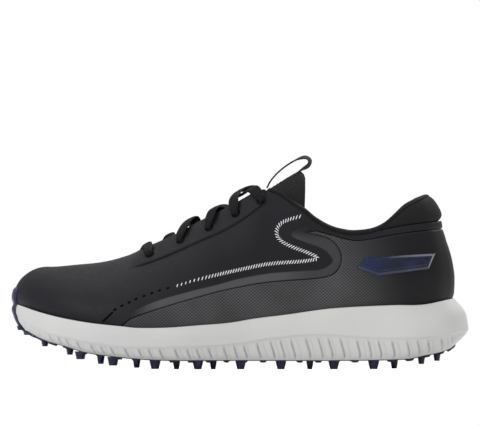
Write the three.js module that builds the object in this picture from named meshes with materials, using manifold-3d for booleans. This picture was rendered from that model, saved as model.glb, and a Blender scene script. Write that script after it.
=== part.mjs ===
// Spikeless golf shoe for the left foot, men's size 42.5.
// Millimetres, +Z up. The toe points to -X, the outer (lateral) side of the foot faces -Y.
// The tips of the sole studs are at Z = 0 and the shoe is centred on X and Y.
import * as THREE from 'three';
import Module from 'manifold-3d';
import { mergeVertices } from 'three/addons/utils/BufferGeometryUtils.js';

const wasm = await Module();
wasm.setup();

// ---------------------------------------------------------------- driving dimensions

const SHOE_LENGTH = 300;
const SHOE_WIDTH = 109.5;
const SHOE_HEIGHT = 120;

const FIT_GAP = 0.35;
const PANEL_GAP = 0.5;

const SKIN_THICKNESS = 1.8;
const LINING_THICKNESS = 1.2;
const STIFFENER_SPACE = 2.1;
const FOAM_SPACE = 5.4;
const WALL_DEPTH = SKIN_THICKNESS + FIT_GAP + LINING_THICKNESS;
const OVERLAY_THICKNESS = 1.0;
const BINDING_HEIGHT = 3.0;
const BINDING_SIDE = 0.6;
const BINDING_OVERLAP = 0.4;

const CUP_DEPTH = 7.0;
const CUP_RIM = 2.4;
const HEEL_FLARE = 9.6;
const OUTSOLE_THICKNESS = 2.6;
const OUTSOLE_MARGIN = 9.0;
const SOLE_LIP = 2.6;
const OUTSOLE_PROUD = 0.8;
const BUMPER_THICKNESS = 1.5;

const BOARD_THICKNESS = 1.3;
const INSOLE_THICKNESS = 4.2;
const COVER_THICKNESS = 0.8;
const INSOLE_MARGIN = 10;

const STUD_HEIGHT = 5.4;
const LARGE_STUD_RADIUS = 3.6;
const SMALL_STUD_RADIUS = 2.4;

const EYELET_RADIUS = 2.3;
const LACE_RADIUS = 1.25;
const AGLET_RADIUS = 1.8;
const AGLET_LENGTH = 16;

// How far the side of the upper bulges out over the sole, and how far round the ends it turns.
const BULGE = 4.2;
const BULGE_TURN = 0.18;

const TONGUE_THICKNESS = 4.6;
const TONGUE_CUT_X = 20;
const TONGUE_SIDE_SPACE = 5.0;
const LOOP_WIDTH = 11;
const LOOP_THICKNESS = 0.9;

const EMBLEM_THICKNESS = 1.6;
const STITCH_WIDTH = 2.4;

// ---------------------------------------------------------------- drawn shape of the last

// The curves below are drawn for this length, width and height and scaled to the sizes above.
const DRAWN = { length: 300, width: 109.5, height: 120 };
const KX = SHOE_LENGTH / DRAWN.length;
const KY = SHOE_WIDTH / DRAWN.width;
const KZ = SHOE_HEIGHT / DRAWN.height;

// Stations from the toe tip to the heel tip.
// x, lateral, medial: widest outline of the sole.
// topX, topOut, topIn: where the upper ends above, on the ridge of the toe (where both
// sides meet), along the throat and round the collar.
// pull, drop: shape of the upper's side near its top edge.
const STATIONS = [
  { x: -149, lateral: 8, medial: 8, topX: -127, topOut: 5.5, topIn: 5.5, pull: 0.72, drop: 0.4 },
  { x: -146, lateral: -6, medial: 21, topX: -124, topOut: 5, topIn: 5, pull: 0.72, drop: 0.4 },
  { x: -138, lateral: -21, medial: 32, topX: -116, topOut: 4, topIn: 4, pull: 0.7, drop: 0.4 },
  { x: -122, lateral: -37.5, medial: 43, topX: -104, topOut: 2.5, topIn: 2.5, pull: 0.64, drop: 0.3 },
  { x: -100, lateral: -50, medial: 50, topX: -87, topOut: 1, topIn: 1, pull: 0.58, drop: 0.3 },
  { x: -76, lateral: -56, medial: 53.5, topX: -69, topOut: 0, topIn: 0, pull: 0.55, drop: 0.5 },
  { x: -48, lateral: -56, medial: 50.5, topX: -50, topOut: -14.5, topIn: 12.5, pull: 0.46, drop: 6 },
  { x: -18, lateral: -50.5, medial: 41.5, topX: -18, topOut: -17.5, topIn: 13.5, pull: 0.42, drop: 9 },
  { x: 14, lateral: -44.5, medial: 36, topX: 17.5, topOut: -23.5, topIn: 18.5, pull: 0.4, drop: 13 },
  { x: 48, lateral: -41.8, medial: 36.5, topX: 48, topOut: -31, topIn: 27, pull: 0.4, drop: 18 },
  { x: 84, lateral: -42, medial: 38.5, topX: 80, topOut: -32, topIn: 29, pull: 0.3, drop: 17 },
  { x: 116, lateral: -39.5, medial: 36.5, topX: 103, topOut: -27.5, topIn: 26, pull: 0.42, drop: 17 },
  { x: 138, lateral: -28.5, medial: 27, topX: 116, topOut: -18, topIn: 17.5, pull: 0.52, drop: 15 },
  { x: 148, lateral: -14, medial: 13.5, topX: 121, topOut: -9, topIn: 9, pull: 0.6, drop: 15 },
  { x: 151, lateral: 0, medial: 0, topX: 122.3, topOut: 0, topIn: 0, pull: 0.62, drop: 15 },
];
const RIDGE_END = 5;
const STEPS_PER_STATION = 2;
const HALF = (STATIONS.length - 1) * STEPS_PER_STATION;
const ROUND = 2 * HALF;
const LEVELS = 7;

// Heights along the shoe, as rows of x and z seen from the side.
const TOP_EDGE = [
  [-148, 66], [-127, 66.9], [-107.7, 69], [-92.6, 70.5], [-82.5, 72.5], [-72.5, 75.5], [-67.3, 77.1],
  [-40.5, 88.9], [-24.4, 97.8], [-5.7, 107.2], [10, 116.2], [17.5, 120], [26.1, 117.8], [33.1, 112.8],
  [42.2, 106.8], [50.2, 100.2], [60.3, 94.7], [70.4, 92.2], [76.4, 91.9], [86.5, 93.2], [94.6, 96.7],
  [102.6, 103.2], [110.7, 109.8], [117.8, 113.8], [122.3, 115.6],
];
const FEATHER_EDGE = [
  [-149, 43.6], [-132.8, 37.8], [-117.7, 33.8], [-97.6, 30.2], [-77.4, 28], [-67.3, 27], [-47.2, 27.2],
  [-27.1, 28.7], [-6.9, 30.4], [10, 33.2], [30.1, 35.7], [60.3, 39.8], [100.6, 42], [120.8, 42.4],
  [141.4, 46.8],
];
const SOLE_RIDGE = [
  [-149, 38], [-140, 30], [-127.8, 24.5], [-107.7, 19.1], [-87.6, 15.6], [-67.3, 14.1], [-37.1, 14.1],
  [-17, 15.1], [0, 16.6], [20, 19.7], [50.2, 22.2], [85.5, 20.1], [120.8, 20.1], [135.9, 22.2], [151, 26],
];
const SOLE_BOTTOM = [
  [-149, 35], [-144.9, 29.2], [-137.9, 24.1], [-127.8, 19.1], [-115.7, 15.6], [-102.6, 11.6],
  [-87.6, 9.1], [-67.3, 7], [-47.2, 6.1], [0, 6.1], [70.4, 6.1], [110.7, 7], [120.8, 9.1], [130.8, 11.1],
  [138.9, 14.1], [144.9, 19.1], [151, 23.5],
];
// Middle of the lace's underside crossing the tongue; the tongue lies one lace thickness below.
const LACE_BED = [
  [-76, 71.7], [-60, 75.7], [-50, 80.1], [-40.5, 85.3], [-24.4, 94.5], [-5.7, 104.3], [10, 113.9],
  [19, 120.7], [28, 126.1], [36, 131.7], [41, 133.3],
];

// Panel edges on the side of the upper, as x and z seen from the side.
const SADDLE_EDGE = [
  [-78.5, 27.5], [-71.4, 33.3], [-62.3, 36.8], [-47.2, 41.8], [-17, 50.4], [0, 54.2], [15, 56.9],
  [30.1, 58.4], [45.2, 59.4], [56.3, 60.9], [62.3, 63.4], [65.9, 68.5], [66.7, 74.6], [64.4, 80.6],
  [59.3, 85.6], [52.3, 88.1], [43.2, 90.1],
];
const UNDER_COLLAR = [[50.2, 91.2], [60.3, 88.6], [70, 85.9], [80.4, 85.1], [105.6, 89.6], [131, 92.6]];
const HEEL_TAB_SEAM = [[66, 90.6], [76.4, 89.4], [88, 91.2], [100.6, 93.7], [115.7, 96.2], [134, 97.9]];
const EYESTAY_EDGE = [
  [-73.5, 66], [-58.7, 70.2], [-41.9, 76.9], [-25.1, 84.5], [-8.3, 92.1], [8.5, 102.9], [17, 110.5],
];
const EYELETS = [[-58.7, 74.4], [-38.9, 83.8], [-20.2, 92.3], [-2.3, 101.7], [14.0, 110.6]];
const LACE_CREST = [[-63, 80.2], [-46.6, 87.8], [-30.4, 98.2], [-10.6, 105.8], [1.2, 116.9]];
// How far along the shoe the lace has moved on from an eyelet when it comes back over the edge.
const LACE_LEAN = [0, 2.5, 2.5, -1.6];
const STITCH_LINE = [
  [-41, 55], [-26, 59.4], [0, 65.5], [20, 69.4], [40.2, 70.9], [49.6, 72.4], [50.4, 74], [43.2, 77.2],
  [31, 82], [25.2, 86.6], [24.4, 91.7], [27.4, 96.2], [34, 99],
];
const BADGE = [[77, 66.5], [83, 73.5], [128, 76], [124, 66], [91, 61.5]];
const COUNTER_TOP = [[70, 52], [90, 62], [112, 72], [145, 79]];
// Ribbon bent into a loop above the tongue, sewn on in front and at the tip.
const LOOP_LINE = [
  [21.5, 121.0], [23.8, 126.8], [29, 132.6], [36, 138], [42, 140], [45.6, 138.4], [45, 135.4], [42.4, 133],
];

// Studs: rows of one on each side as x, and single ones as x and y.
const LARGE_STUD_ROWS = [-105, -83.5, -55.8, -27.6, 0.6, 27.1, 62, 88.2];
const SMALL_STUD_ROWS = [-112, -91.6, -67.9, -41.7, -17.5, 46.2, 101.8, 119.7];
const TOE_STUDS = [[-137.4, 0], [-137.4, 13], [-128.5, -12], [-128.5, 22]];
const HEEL_STUDS = [[130, -13], [130, 12], [119.7, 0], [101.8, 0]];
const CENTRE_STUDS = [[-91.6, 0], [-67.9, -3], [-41.7, -5], [-112, 6]];
const STUD_TAPER = 0.68;

// ---------------------------------------------------------------- curves

// Smooth curve through rows of x and z, returned as a function of x.
function heightCurve(rows) {
  const slopes = rows.map((row, i) => {
    const before = rows[Math.max(i - 1, 0)];
    const after = rows[Math.min(i + 1, rows.length - 1)];
    return (after[1] - before[1]) / (after[0] - before[0]);
  });
  return (x) => {
    const at = x / KX;
    const last = rows.length - 1;
    if (at <= rows[0][0]) return KZ * (rows[0][1] + slopes[0] * (at - rows[0][0]));
    if (at >= rows[last][0]) return KZ * (rows[last][1] + slopes[last] * (at - rows[last][0]));
    const i = rows.findIndex((row, k) => k < last && at < rows[k + 1][0]);
    const span = rows[i + 1][0] - rows[i][0];
    const t = (at - rows[i][0]) / span;
    const start = rows[i][1] * (2 * t ** 3 - 3 * t ** 2 + 1) + slopes[i] * span * (t ** 3 - 2 * t ** 2 + t);
    const end = rows[i + 1][1] * (3 * t ** 2 - 2 * t ** 3) + slopes[i + 1] * span * (t ** 3 - t ** 2);
    return KZ * (start + end);
  };
}

const topEdge = heightCurve(TOP_EDGE);
const featherEdge = heightCurve(FEATHER_EDGE);
const soleRidge = heightCurve(SOLE_RIDGE);
const soleBottom = heightCurve(SOLE_BOTTOM);
const laceBed = heightCurve(LACE_BED);
const tongueCentre = (x) => laceBed(x) - 2 * LACE_RADIUS;

function scaled(rows) {
  return rows.map(([x, z]) => new THREE.Vector2(x * KX, z * KZ));
}

function smoothStep(value, from, to) {
  const t = Math.min(Math.max((value - from) / (to - from), 0), 1);
  return t * t * (3 - 2 * t);
}

// One value of every step round the shoe: toe tip, lateral side, heel tip, medial side.
function around(lateral, medial) {
  const points = [];
  const last = STATIONS.length - 1;
  STATIONS.forEach((station) => points.push(new THREE.Vector3(lateral(station), 0, 0)));
  for (let k = last - 1; k > 0; k -= 1) {
    points.push(new THREE.Vector3(medial(STATIONS[k]), 0, 0));
  }
  const curve = new THREE.CatmullRomCurve3(points, true, 'catmullrom', 0.5);
  return Array.from({ length: ROUND }, (_, i) => curve.getPoint(i / ROUND).x);
}

const soleX = around((s) => s.x, (s) => s.x);
const soleY = around((s) => s.lateral, (s) => s.medial);
const topX = around((s) => s.topX, (s) => s.topX);
const topY = around((s) => s.topOut, (s) => s.topIn);
const topPull = around((s) => s.pull, (s) => s.pull);
const topDrop = around((s) => s.drop, (s) => s.drop);

function opposite(i) {
  return (ROUND - i) % ROUND;
}

function onRidge(i) {
  return Math.min(i, opposite(i)) <= RIDGE_END * STEPS_PER_STATION;
}

// A ring round the shoe, moved in from the widest outline of the sole at the toe, heel and sides.
function ring(toeInset, heelInset, sideInset, height) {
  const from = -149 * KX + toeInset;
  const to = 151 * KX - heelInset;
  return soleX.map((x, i) => {
    const share = (x + 149) / 300;
    const centre = ((soleY[i] + soleY[opposite(i)]) / 2) * KY;
    const side = (soleY[i] * KY - centre) * (1 - sideInset / (SHOE_WIDTH / 2));
    const px = from + (to - from) * share;
    return new THREE.Vector3(px, centre + side, height(px));
  });
}

// ---------------------------------------------------------------- solids

function solidFromGeometry(geometry) {
  const bare = geometry.clone();
  bare.deleteAttribute('normal');
  bare.deleteAttribute('uv');
  const merged = mergeVertices(bare, 1e-4);
  return new wasm.Manifold(new wasm.Mesh({
    numProp: 3,
    vertProperties: new Float32Array(merged.attributes.position.array),
    triVerts: new Uint32Array(merged.index.array),
  }));
}

function solidFromFaces(points, faces) {
  const geometry = new THREE.BufferGeometry();
  geometry.setAttribute('position', new THREE.Float32BufferAttribute(points.flatMap((p) => p.toArray()), 3));
  geometry.setIndex(faces.flat());
  return solidFromGeometry(geometry);
}

function partMesh(name, solid, surface) {
  const { vertProperties, triVerts, numProp } = solid.getMesh();
  const geometry = new THREE.BufferGeometry();
  const positions = new Float32Array((vertProperties.length / numProp) * 3);
  for (let v = 0; v < positions.length / 3; v += 1) {
    for (let axis = 0; axis < 3; axis += 1) {
      positions[v * 3 + axis] = vertProperties[v * numProp + axis];
    }
  }
  geometry.setAttribute('position', new THREE.BufferAttribute(positions, 3));
  geometry.setIndex(new THREE.BufferAttribute(new Uint32Array(triVerts), 1));
  geometry.computeVertexNormals();
  const mesh = new THREE.Mesh(geometry, surface);
  mesh.name = name;
  return mesh;
}

// The body that a cut leaves, without the crumbs at its corners.
function mainBody(solid) {
  return solid.decompose().reduce((best, body) => (body.volume() > best.volume() ? body : best));
}

// Faces of a band between two rows of point numbers.
function band(lower, upper) {
  const faces = [];
  for (let i = 0; i + 1 < lower.length; i += 1) {
    faces.push([lower[i], lower[i + 1], upper[i + 1]], [lower[i], upper[i + 1], upper[i]]);
  }
  return faces.filter(([a, b, c]) => a !== b && b !== c && c !== a);
}

// Flat cover of a ring, spanned straight across from the lateral to the medial side.
function cover(numbers) {
  const lateral = numbers.slice(0, HALF + 1);
  const medial = Array.from({ length: HALF + 1 }, (_, i) => numbers[opposite(i)]);
  return band(lateral, medial);
}

// Closed solid from rings stacked from its lowest cover to its last cover.
function loftRings(rings) {
  const points = rings.flat();
  const rows = rings.map((_, k) => Array.from({ length: ROUND + 1 }, (__, i) => k * ROUND + (i % ROUND)));
  const faces = [];
  for (let k = 0; k + 1 < rows.length; k += 1) {
    faces.push(...band(rows[k], rows[k + 1]));
  }
  faces.push(...cover(rows[0]).map(([a, b, c]) => [a, c, b]));
  faces.push(...cover(rows[rows.length - 1]));
  return solidFromFaces(points, faces);
}

// Closed solid between two sheets of points, each a list of equally long rows.
function slab(top, bottom) {
  const rows = top.length;
  const columns = top[0].length;
  const points = [...top.flat(), ...bottom.flat()];
  const upper = (r, c) => r * columns + c;
  const lower = (r, c) => rows * columns + r * columns + c;
  const row = (number, r) => Array.from({ length: columns }, (_, c) => number(r, c));
  const column = (number, c) => Array.from({ length: rows }, (_, r) => number(r, c));
  const faces = [];
  for (let r = 0; r + 1 < rows; r += 1) {
    faces.push(...band(row(upper, r), row(upper, r + 1)));
    faces.push(...band(row(lower, r + 1), row(lower, r)));
  }
  faces.push(...band(row(lower, 0), row(upper, 0)));
  faces.push(...band(row(upper, rows - 1), row(lower, rows - 1)));
  faces.push(...band(column(upper, 0), column(lower, 0)));
  faces.push(...band(column(lower, columns - 1), column(upper, columns - 1)));
  return solidFromFaces(points, faces);
}

// The same slab with its faces pointing out whichever way its rows run.
function outwardSlab(top, bottom) {
  const solid = slab(top, bottom);
  return solid.volume() > 0 ? solid : slab(bottom, top);
}

// Outline drawn in side view, extended across the shoe; side is -1 lateral, 1 medial, 0 both.
function sidePrism(outline, side = 0) {
  const reach = SHOE_WIDTH;
  const shape = new THREE.Shape(outline);
  const depth = side ? reach : 2 * reach;
  const geometry = new THREE.ExtrudeGeometry(shape, { depth, bevelEnabled: false });
  geometry.rotateX(Math.PI / 2);
  if (side >= 0) geometry.translate(0, reach, 0);
  const solid = solidFromGeometry(geometry);
  return solid.volume() < 0 ? solidFromGeometry(geometry.scale(1, -1, 1)) : solid;
}

// Open line widened to a strip of the given width.
function strip(line, width) {
  const left = [];
  const right = [];
  line.forEach((point, i) => {
    const before = line[Math.max(i - 1, 0)];
    const after = line[Math.min(i + 1, line.length - 1)];
    const across = new THREE.Vector2(before.y - after.y, after.x - before.x).setLength(width / 2);
    left.push(point.clone().add(across));
    right.unshift(point.clone().sub(across));
  });
  return [...left, ...right];
}

// ---------------------------------------------------------------- form of the upper

// Points of the outer surface: level 0 is tucked into the sole cup, level 1 is level with its rim.
function formPoint(i, level) {
  const rim = CUP_RIM + FIT_GAP + 0.1;
  const base = ring(rim + 1.0, rim + HEEL_FLARE, rim + 1.9, featherEdge)[i];
  if (level === 0) return base.setZ(base.z - CUP_DEPTH + FIT_GAP);
  base.z += 0.4;
  const top = new THREE.Vector3(topX[i] * KX, topY[i] * KY, 0);
  if (onRidge(i)) top.y = ((topY[i] + topY[opposite(i)]) / 2) * KY;
  top.z = topEdge(top.x) - BINDING_HEIGHT * smoothStep(topX[i], 8, 24);
  const outward = new THREE.Vector3(BULGE_TURN * base.x, base.y, 0).normalize();
  const rise = top.z - base.z;
  const lower = base.clone().addScaledVector(outward, BULGE).setZ(base.z + 0.42 * rise);
  const upper = top.clone().lerp(base, topPull[i]).setZ(top.z - topDrop[i] * KZ);
  const side = new THREE.CubicBezierCurve3(base, lower, upper, top);
  return side.getPoint((level - 1) / (LEVELS - 1));
}

function makeForm() {
  const number = (i, level) => {
    const merged = level === LEVELS && onRidge(i) && i > HALF ? opposite(i) : i % ROUND;
    return merged * (LEVELS + 1) + level;
  };
  const points = [];
  for (let i = 0; i < ROUND; i += 1) {
    for (let level = 0; level <= LEVELS; level += 1) {
      points[number(i, level)] = formPoint(i, level);
    }
  }
  for (let k = 0; k < ROUND * (LEVELS + 1); k += 1) {
    points[k] = points[k] ?? new THREE.Vector3();
  }
  const faces = [];
  for (let level = 0; level < LEVELS; level += 1) {
    const lower = Array.from({ length: ROUND + 1 }, (_, i) => number(i % ROUND, level));
    const upper = Array.from({ length: ROUND + 1 }, (_, i) => number(i % ROUND, level + 1));
    faces.push(...band(lower, upper));
  }
  const geometry = new THREE.BufferGeometry();
  geometry.setAttribute('position', new THREE.Float32BufferAttribute(points.flatMap((p) => p.toArray()), 3));
  geometry.setIndex(faces.flat());
  geometry.computeVertexNormals();
  const { normal } = geometry.attributes;
  const normals = points.map((_, k) => new THREE.Vector3().fromBufferAttribute(normal, k));
  return { points, faces, normals, number };
}

const form = makeForm();

// Space between the skin and the lining, for the toe puff, the heel counter and the collar foam.
function paddingSpace(i, level) {
  const x = form.points[form.number(i, level)].x / KX;
  const toe = STIFFENER_SPACE * (1 - smoothStep(x, -114, -100));
  const heel = STIFFENER_SPACE * smoothStep(x, 62, 80);
  const collar = FOAM_SPACE * smoothStep(x, 16, 44) * smoothStep(level / LEVELS, 0.5, 0.75);
  return Math.max(toe, heel, collar);
}

// Layer of the upper between two distances from its outer surface, as functions of place.
function layer(outer, inner) {
  const count = form.points.length;
  const shifted = (distance) => form.points.map((point, k) => {
    const i = Math.floor(k / (LEVELS + 1));
    return point.clone().addScaledVector(form.normals[k], distance(i, k % (LEVELS + 1)));
  });
  const points = [...shifted(outer), ...shifted(inner)];
  const faces = form.faces.flatMap(([a, b, c]) => [[a, b, c], [a + count, c + count, b + count]]);
  for (let i = 0; i < ROUND; i += 1) {
    const next = (i + 1) % ROUND;
    const foot = [form.number(i, 0), form.number(next, 0)];
    faces.push(...band(foot.map((k) => k + count), foot));
    if (onRidge(i) && onRidge(next)) continue;
    const edge = [form.number(i, LEVELS), form.number(next, LEVELS)];
    faces.push(...band(edge, edge.map((k) => k + count)));
  }
  return solidFromFaces(points, faces);
}

const SKIN_INNER = -SKIN_THICKNESS;
const PAD_OUTER = SKIN_INNER - FIT_GAP;
const padInner = (i, level) => PAD_OUTER - Math.max(paddingSpace(i, level) - FIT_GAP, 0.3);
const liningOuter = (i, level) => PAD_OUTER - paddingSpace(i, level);
const liningInner = (i, level) => liningOuter(i, level) - LINING_THICKNESS;

// Point and outward normal of the upper's surface at a side-view place.
function onUpper(x, z, side) {
  let best = null;
  for (let i = 1; i < HALF; i += 1) {
    for (let level = 1; level < LEVELS; level += 1) {
      const column = side < 0 ? i : opposite(i);
      const next = side < 0 ? i + 1 : opposite(i + 1);
      const corners = [[column, level], [next, level], [column, level + 1], [next, level + 1]];
      const [a, b, c, d] = corners.map(([k, l]) => form.number(k, l));
      best = nearerPoint(best, x, z, [a, b, c, d]);
    }
  }
  return best;
}

function nearerPoint(best, x, z, [a, b, c, d]) {
  let nearest = best;
  const steps = 10;
  for (let s = 0; s <= steps; s += 1) {
    for (let t = 0; t <= steps; t += 1) {
      const mix = (list) => list[a].clone().lerp(list[b], s / steps)
        .lerp(list[c].clone().lerp(list[d], s / steps), t / steps);
      const point = mix(form.points);
      const miss = Math.hypot(point.x - x, point.z - z);
      if (!nearest || miss < nearest.miss) nearest = { miss, point, normal: mix(form.normals).normalize() };
    }
  }
  return nearest;
}

// ---------------------------------------------------------------- materials

function surface(color, roughness, metalness = 0) {
  return new THREE.MeshStandardMaterial({ color, roughness, metalness });
}

const charcoal = surface(0x2c2c30, 0.6);
const meshGrey = surface(0x44444a, 0.7);
const blackFabric = surface(0x1a1a1c, 0.9);
const blackFoam = surface(0x26262a, 0.95);
const paleFoam = surface(0xd8d8d6, 0.75);
const navyRubber = surface(0x2b2c55, 0.5);
const navyGloss = surface(0x232a66, 0.2);
const boardWhite = surface(0xcfcbc0, 0.9);
const silverThread = surface(0xb8b8be, 0.5);
const clearPlastic = surface(0x202024, 0.25);

// ---------------------------------------------------------------- sole

function cupFloor(x) {
  return featherEdge(x) - CUP_DEPTH;
}

function midsoleRings() {
  const rim = { toe: 1.0, heel: HEEL_FLARE, side: 1.9 };
  const cup = CUP_RIM;
  const recess = OUTSOLE_MARGIN - 0.5;
  return [
    ring(recess + 0.1, recess + 0.1, recess + 0.1, (x) => soleBottom(x) + OUTSOLE_THICKNESS - 0.6),
    ring(recess, recess, recess, soleBottom),
    ring(recess - SOLE_LIP, recess - SOLE_LIP, recess - SOLE_LIP, soleBottom),
    ring(2.2, 2.2, 2.6, (x) => soleBottom(x) + 0.3 * (soleRidge(x) - soleBottom(x))),
    ring(0.9, 0.9, 1.0, (x) => soleRidge(x) - 0.8),
    ring(0.1, 0, 0, (x) => soleRidge(x) + 0.8),
    ring(0.2, 2.4, 0.5, (x) => 0.45 * soleRidge(x) + 0.55 * featherEdge(x)),
    ring(rim.toe, rim.heel, rim.side, featherEdge),
    ring(rim.toe + cup, rim.heel + cup, rim.side + cup, featherEdge),
    ring(rim.toe + cup, rim.heel + cup, rim.side + cup, cupFloor),
  ];
}

function edgeY(outline, x, side) {
  const edgePoint = (i) => outline[side < 0 ? i : opposite(i)];
  let i = 0;
  while (edgePoint(i + 1).x < x) i += 1;
  const [a, b] = [edgePoint(i), edgePoint(i + 1)];
  return a.y + ((b.y - a.y) * (x - a.x)) / (b.x - a.x);
}

function stud(x, y, radius) {
  const base = soleBottom(x) - OUTSOLE_PROUD + 0.6;
  const tip = Math.max(soleBottom(x) - OUTSOLE_PROUD - STUD_HEIGHT * KZ, 0);
  const cone = new THREE.CylinderGeometry(radius, STUD_TAPER * radius, base - tip, 8);
  cone.rotateX(Math.PI / 2);
  cone.translate(x, y, (base + tip) / 2);
  return solidFromGeometry(cone);
}

function studs(outline) {
  const all = [];
  LARGE_STUD_ROWS.forEach((row) => {
    [-1, 1].forEach((side) => {
      const x = row * KX;
      all.push(stud(x, edgeY(outline, x, side) - side * (LARGE_STUD_RADIUS + 0.8), LARGE_STUD_RADIUS));
    });
  });
  SMALL_STUD_ROWS.forEach((row) => {
    [-1, 1].forEach((side) => {
      const x = row * KX;
      all.push(stud(x, edgeY(outline, x, side) - side * (3 * SMALL_STUD_RADIUS + 4), SMALL_STUD_RADIUS));
    });
  });
  [...TOE_STUDS, ...HEEL_STUDS, ...CENTRE_STUDS].forEach(([x, y]) => {
    all.push(stud(x * KX, y * KY, SMALL_STUD_RADIUS));
  });
  return all;
}

// Rubber strip that runs from the outsole up the front of the toe.
function toeBumper(rings) {
  const reach = 2;
  const columns = Array.from({ length: 2 * reach + 1 }, (_, c) => (c - reach + ROUND) % ROUND);
  const under = (inset, drop) => ring(inset, inset, inset, (x) => soleBottom(x) - drop);
  const outward = (point) => new THREE.Vector3(point.x + 110 * KX, point.y, 0).normalize();
  const face = (distance) => [
    ...[under(OUTSOLE_MARGIN + 4, 0.3 + 0.3 * distance), under(OUTSOLE_MARGIN - 3, 0.3 + 0.3 * distance)],
    ...rings.slice(3, 8).map((points) => points.map((point, i) => {
      const way = outward(point);
      way.z = -0.5 * Math.max(0, 1 - (point.z - rings[3][i].z) / 6);
      return point.clone().addScaledVector(way.normalize(), distance);
    })),
    rings[7].map((point, i) => {
      const above = form.points[form.number(i, 3)];
      return above.clone().addScaledVector(form.normals[form.number(i, 3)], distance);
    }),
  ];
  const pick = (levels) => levels.map((points) => columns.map((i) => points[i]));
  return slab(pick(face(FIT_GAP + BUMPER_THICKNESS)), pick(face(FIT_GAP)));
}

function outsole(rings) {
  const lower = ring(OUTSOLE_MARGIN, OUTSOLE_MARGIN, OUTSOLE_MARGIN, (x) => soleBottom(x) - OUTSOLE_PROUD);
  const plateTop = (x) => soleBottom(x) + OUTSOLE_THICKNESS - OUTSOLE_PROUD - 0.6 - FIT_GAP;
  const upper = ring(OUTSOLE_MARGIN, OUTSOLE_MARGIN, OUTSOLE_MARGIN, plateTop);
  let solid = loftRings([lower, upper]);
  studs(lower).forEach((one) => {
    solid = solid.add(one);
  });
  return solid.add(toeBumper(rings));
}

function board(bottom, thickness, margin) {
  const inset = CUP_RIM + margin;
  const at = (height) => ring(1 + inset, HEEL_FLARE + inset, 1.9 + inset, (x) => cupFloor(x) + height);
  return loftRings([at(bottom), at(bottom + thickness)]);
}

// ---------------------------------------------------------------- upper

function above(line, height = 400) {
  return [...line, new THREE.Vector2(line[line.length - 1].x, height), new THREE.Vector2(line[0].x, height)];
}

function shiftLine(line, dx, dz) {
  return line.map((point) => new THREE.Vector2(point.x + dx, point.y + dz));
}

function quarterOutline() {
  const front = scaled(SADDLE_EDGE);
  const top = scaled(UNDER_COLLAR);
  const end = 170 * KX;
  return [...front, ...top, new THREE.Vector2(end, top[top.length - 1].y + 1), new THREE.Vector2(end, 0),
    new THREE.Vector2(front[0].x - 4, 0)];
}

function rightOf(from, to) {
  return new THREE.Vector2(to.y - from.y, from.x - to.x).normalize();
}

// The outline of the quarter drawn in by the panel gap.
function quarterInner() {
  const outline = quarterOutline();
  const moved = [];
  const fronts = SADDLE_EDGE.length + UNDER_COLLAR.length;
  outline.forEach((point, i) => {
    if (i >= fronts) {
      moved.push(point.clone());
      return;
    }
    const before = outline[Math.max(i - 1, 0)];
    const after = outline[i + 1];
    const arriving = rightOf(before, point);
    const leaving = rightOf(point, after);
    const mitre = (i === 0 ? leaving.clone() : arriving).add(leaving);
    moved.push(point.clone().addScaledVector(mitre, Math.min((2 * PANEL_GAP) / mitre.lengthSq(), 3)));
  });
  return moved;
}

function heelTabPrism(lift) {
  const seam = shiftLine(scaled(HEEL_TAB_SEAM), 0, lift);
  const last = seam[seam.length - 1];
  seam.push(new THREE.Vector2(170 * KX, last.y + 1));
  return sidePrism(above([new THREE.Vector2(seam[0].x - 2, seam[0].y + 14), ...seam]));
}

function eyeletCutters() {
  const cutters = [];
  EYELETS.forEach(([x, z]) => {
    [-1, 1].forEach((side) => {
      const spot = onUpper(x * KX, z * KZ, side);
      const bore = new THREE.CylinderGeometry(EYELET_RADIUS, EYELET_RADIUS, 16, 8);
      const turn = new THREE.Quaternion().setFromUnitVectors(new THREE.Vector3(0, 1, 0), spot.normal);
      bore.applyQuaternion(turn);
      bore.translate(spot.point.x, spot.point.y, spot.point.z);
      cutters.push(solidFromGeometry(bore));
    });
  });
  return cutters;
}

function cutAll(solid, cutters) {
  return cutters.reduce((rest, cutter) => rest.subtract(cutter), solid);
}

function halfSpace(side) {
  const far = 400;
  const box = new THREE.BoxGeometry(2 * far, far, 2 * far);
  box.translate(0, side * (far / 2 + PANEL_GAP / 2), 0);
  return solidFromGeometry(box);
}

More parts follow.
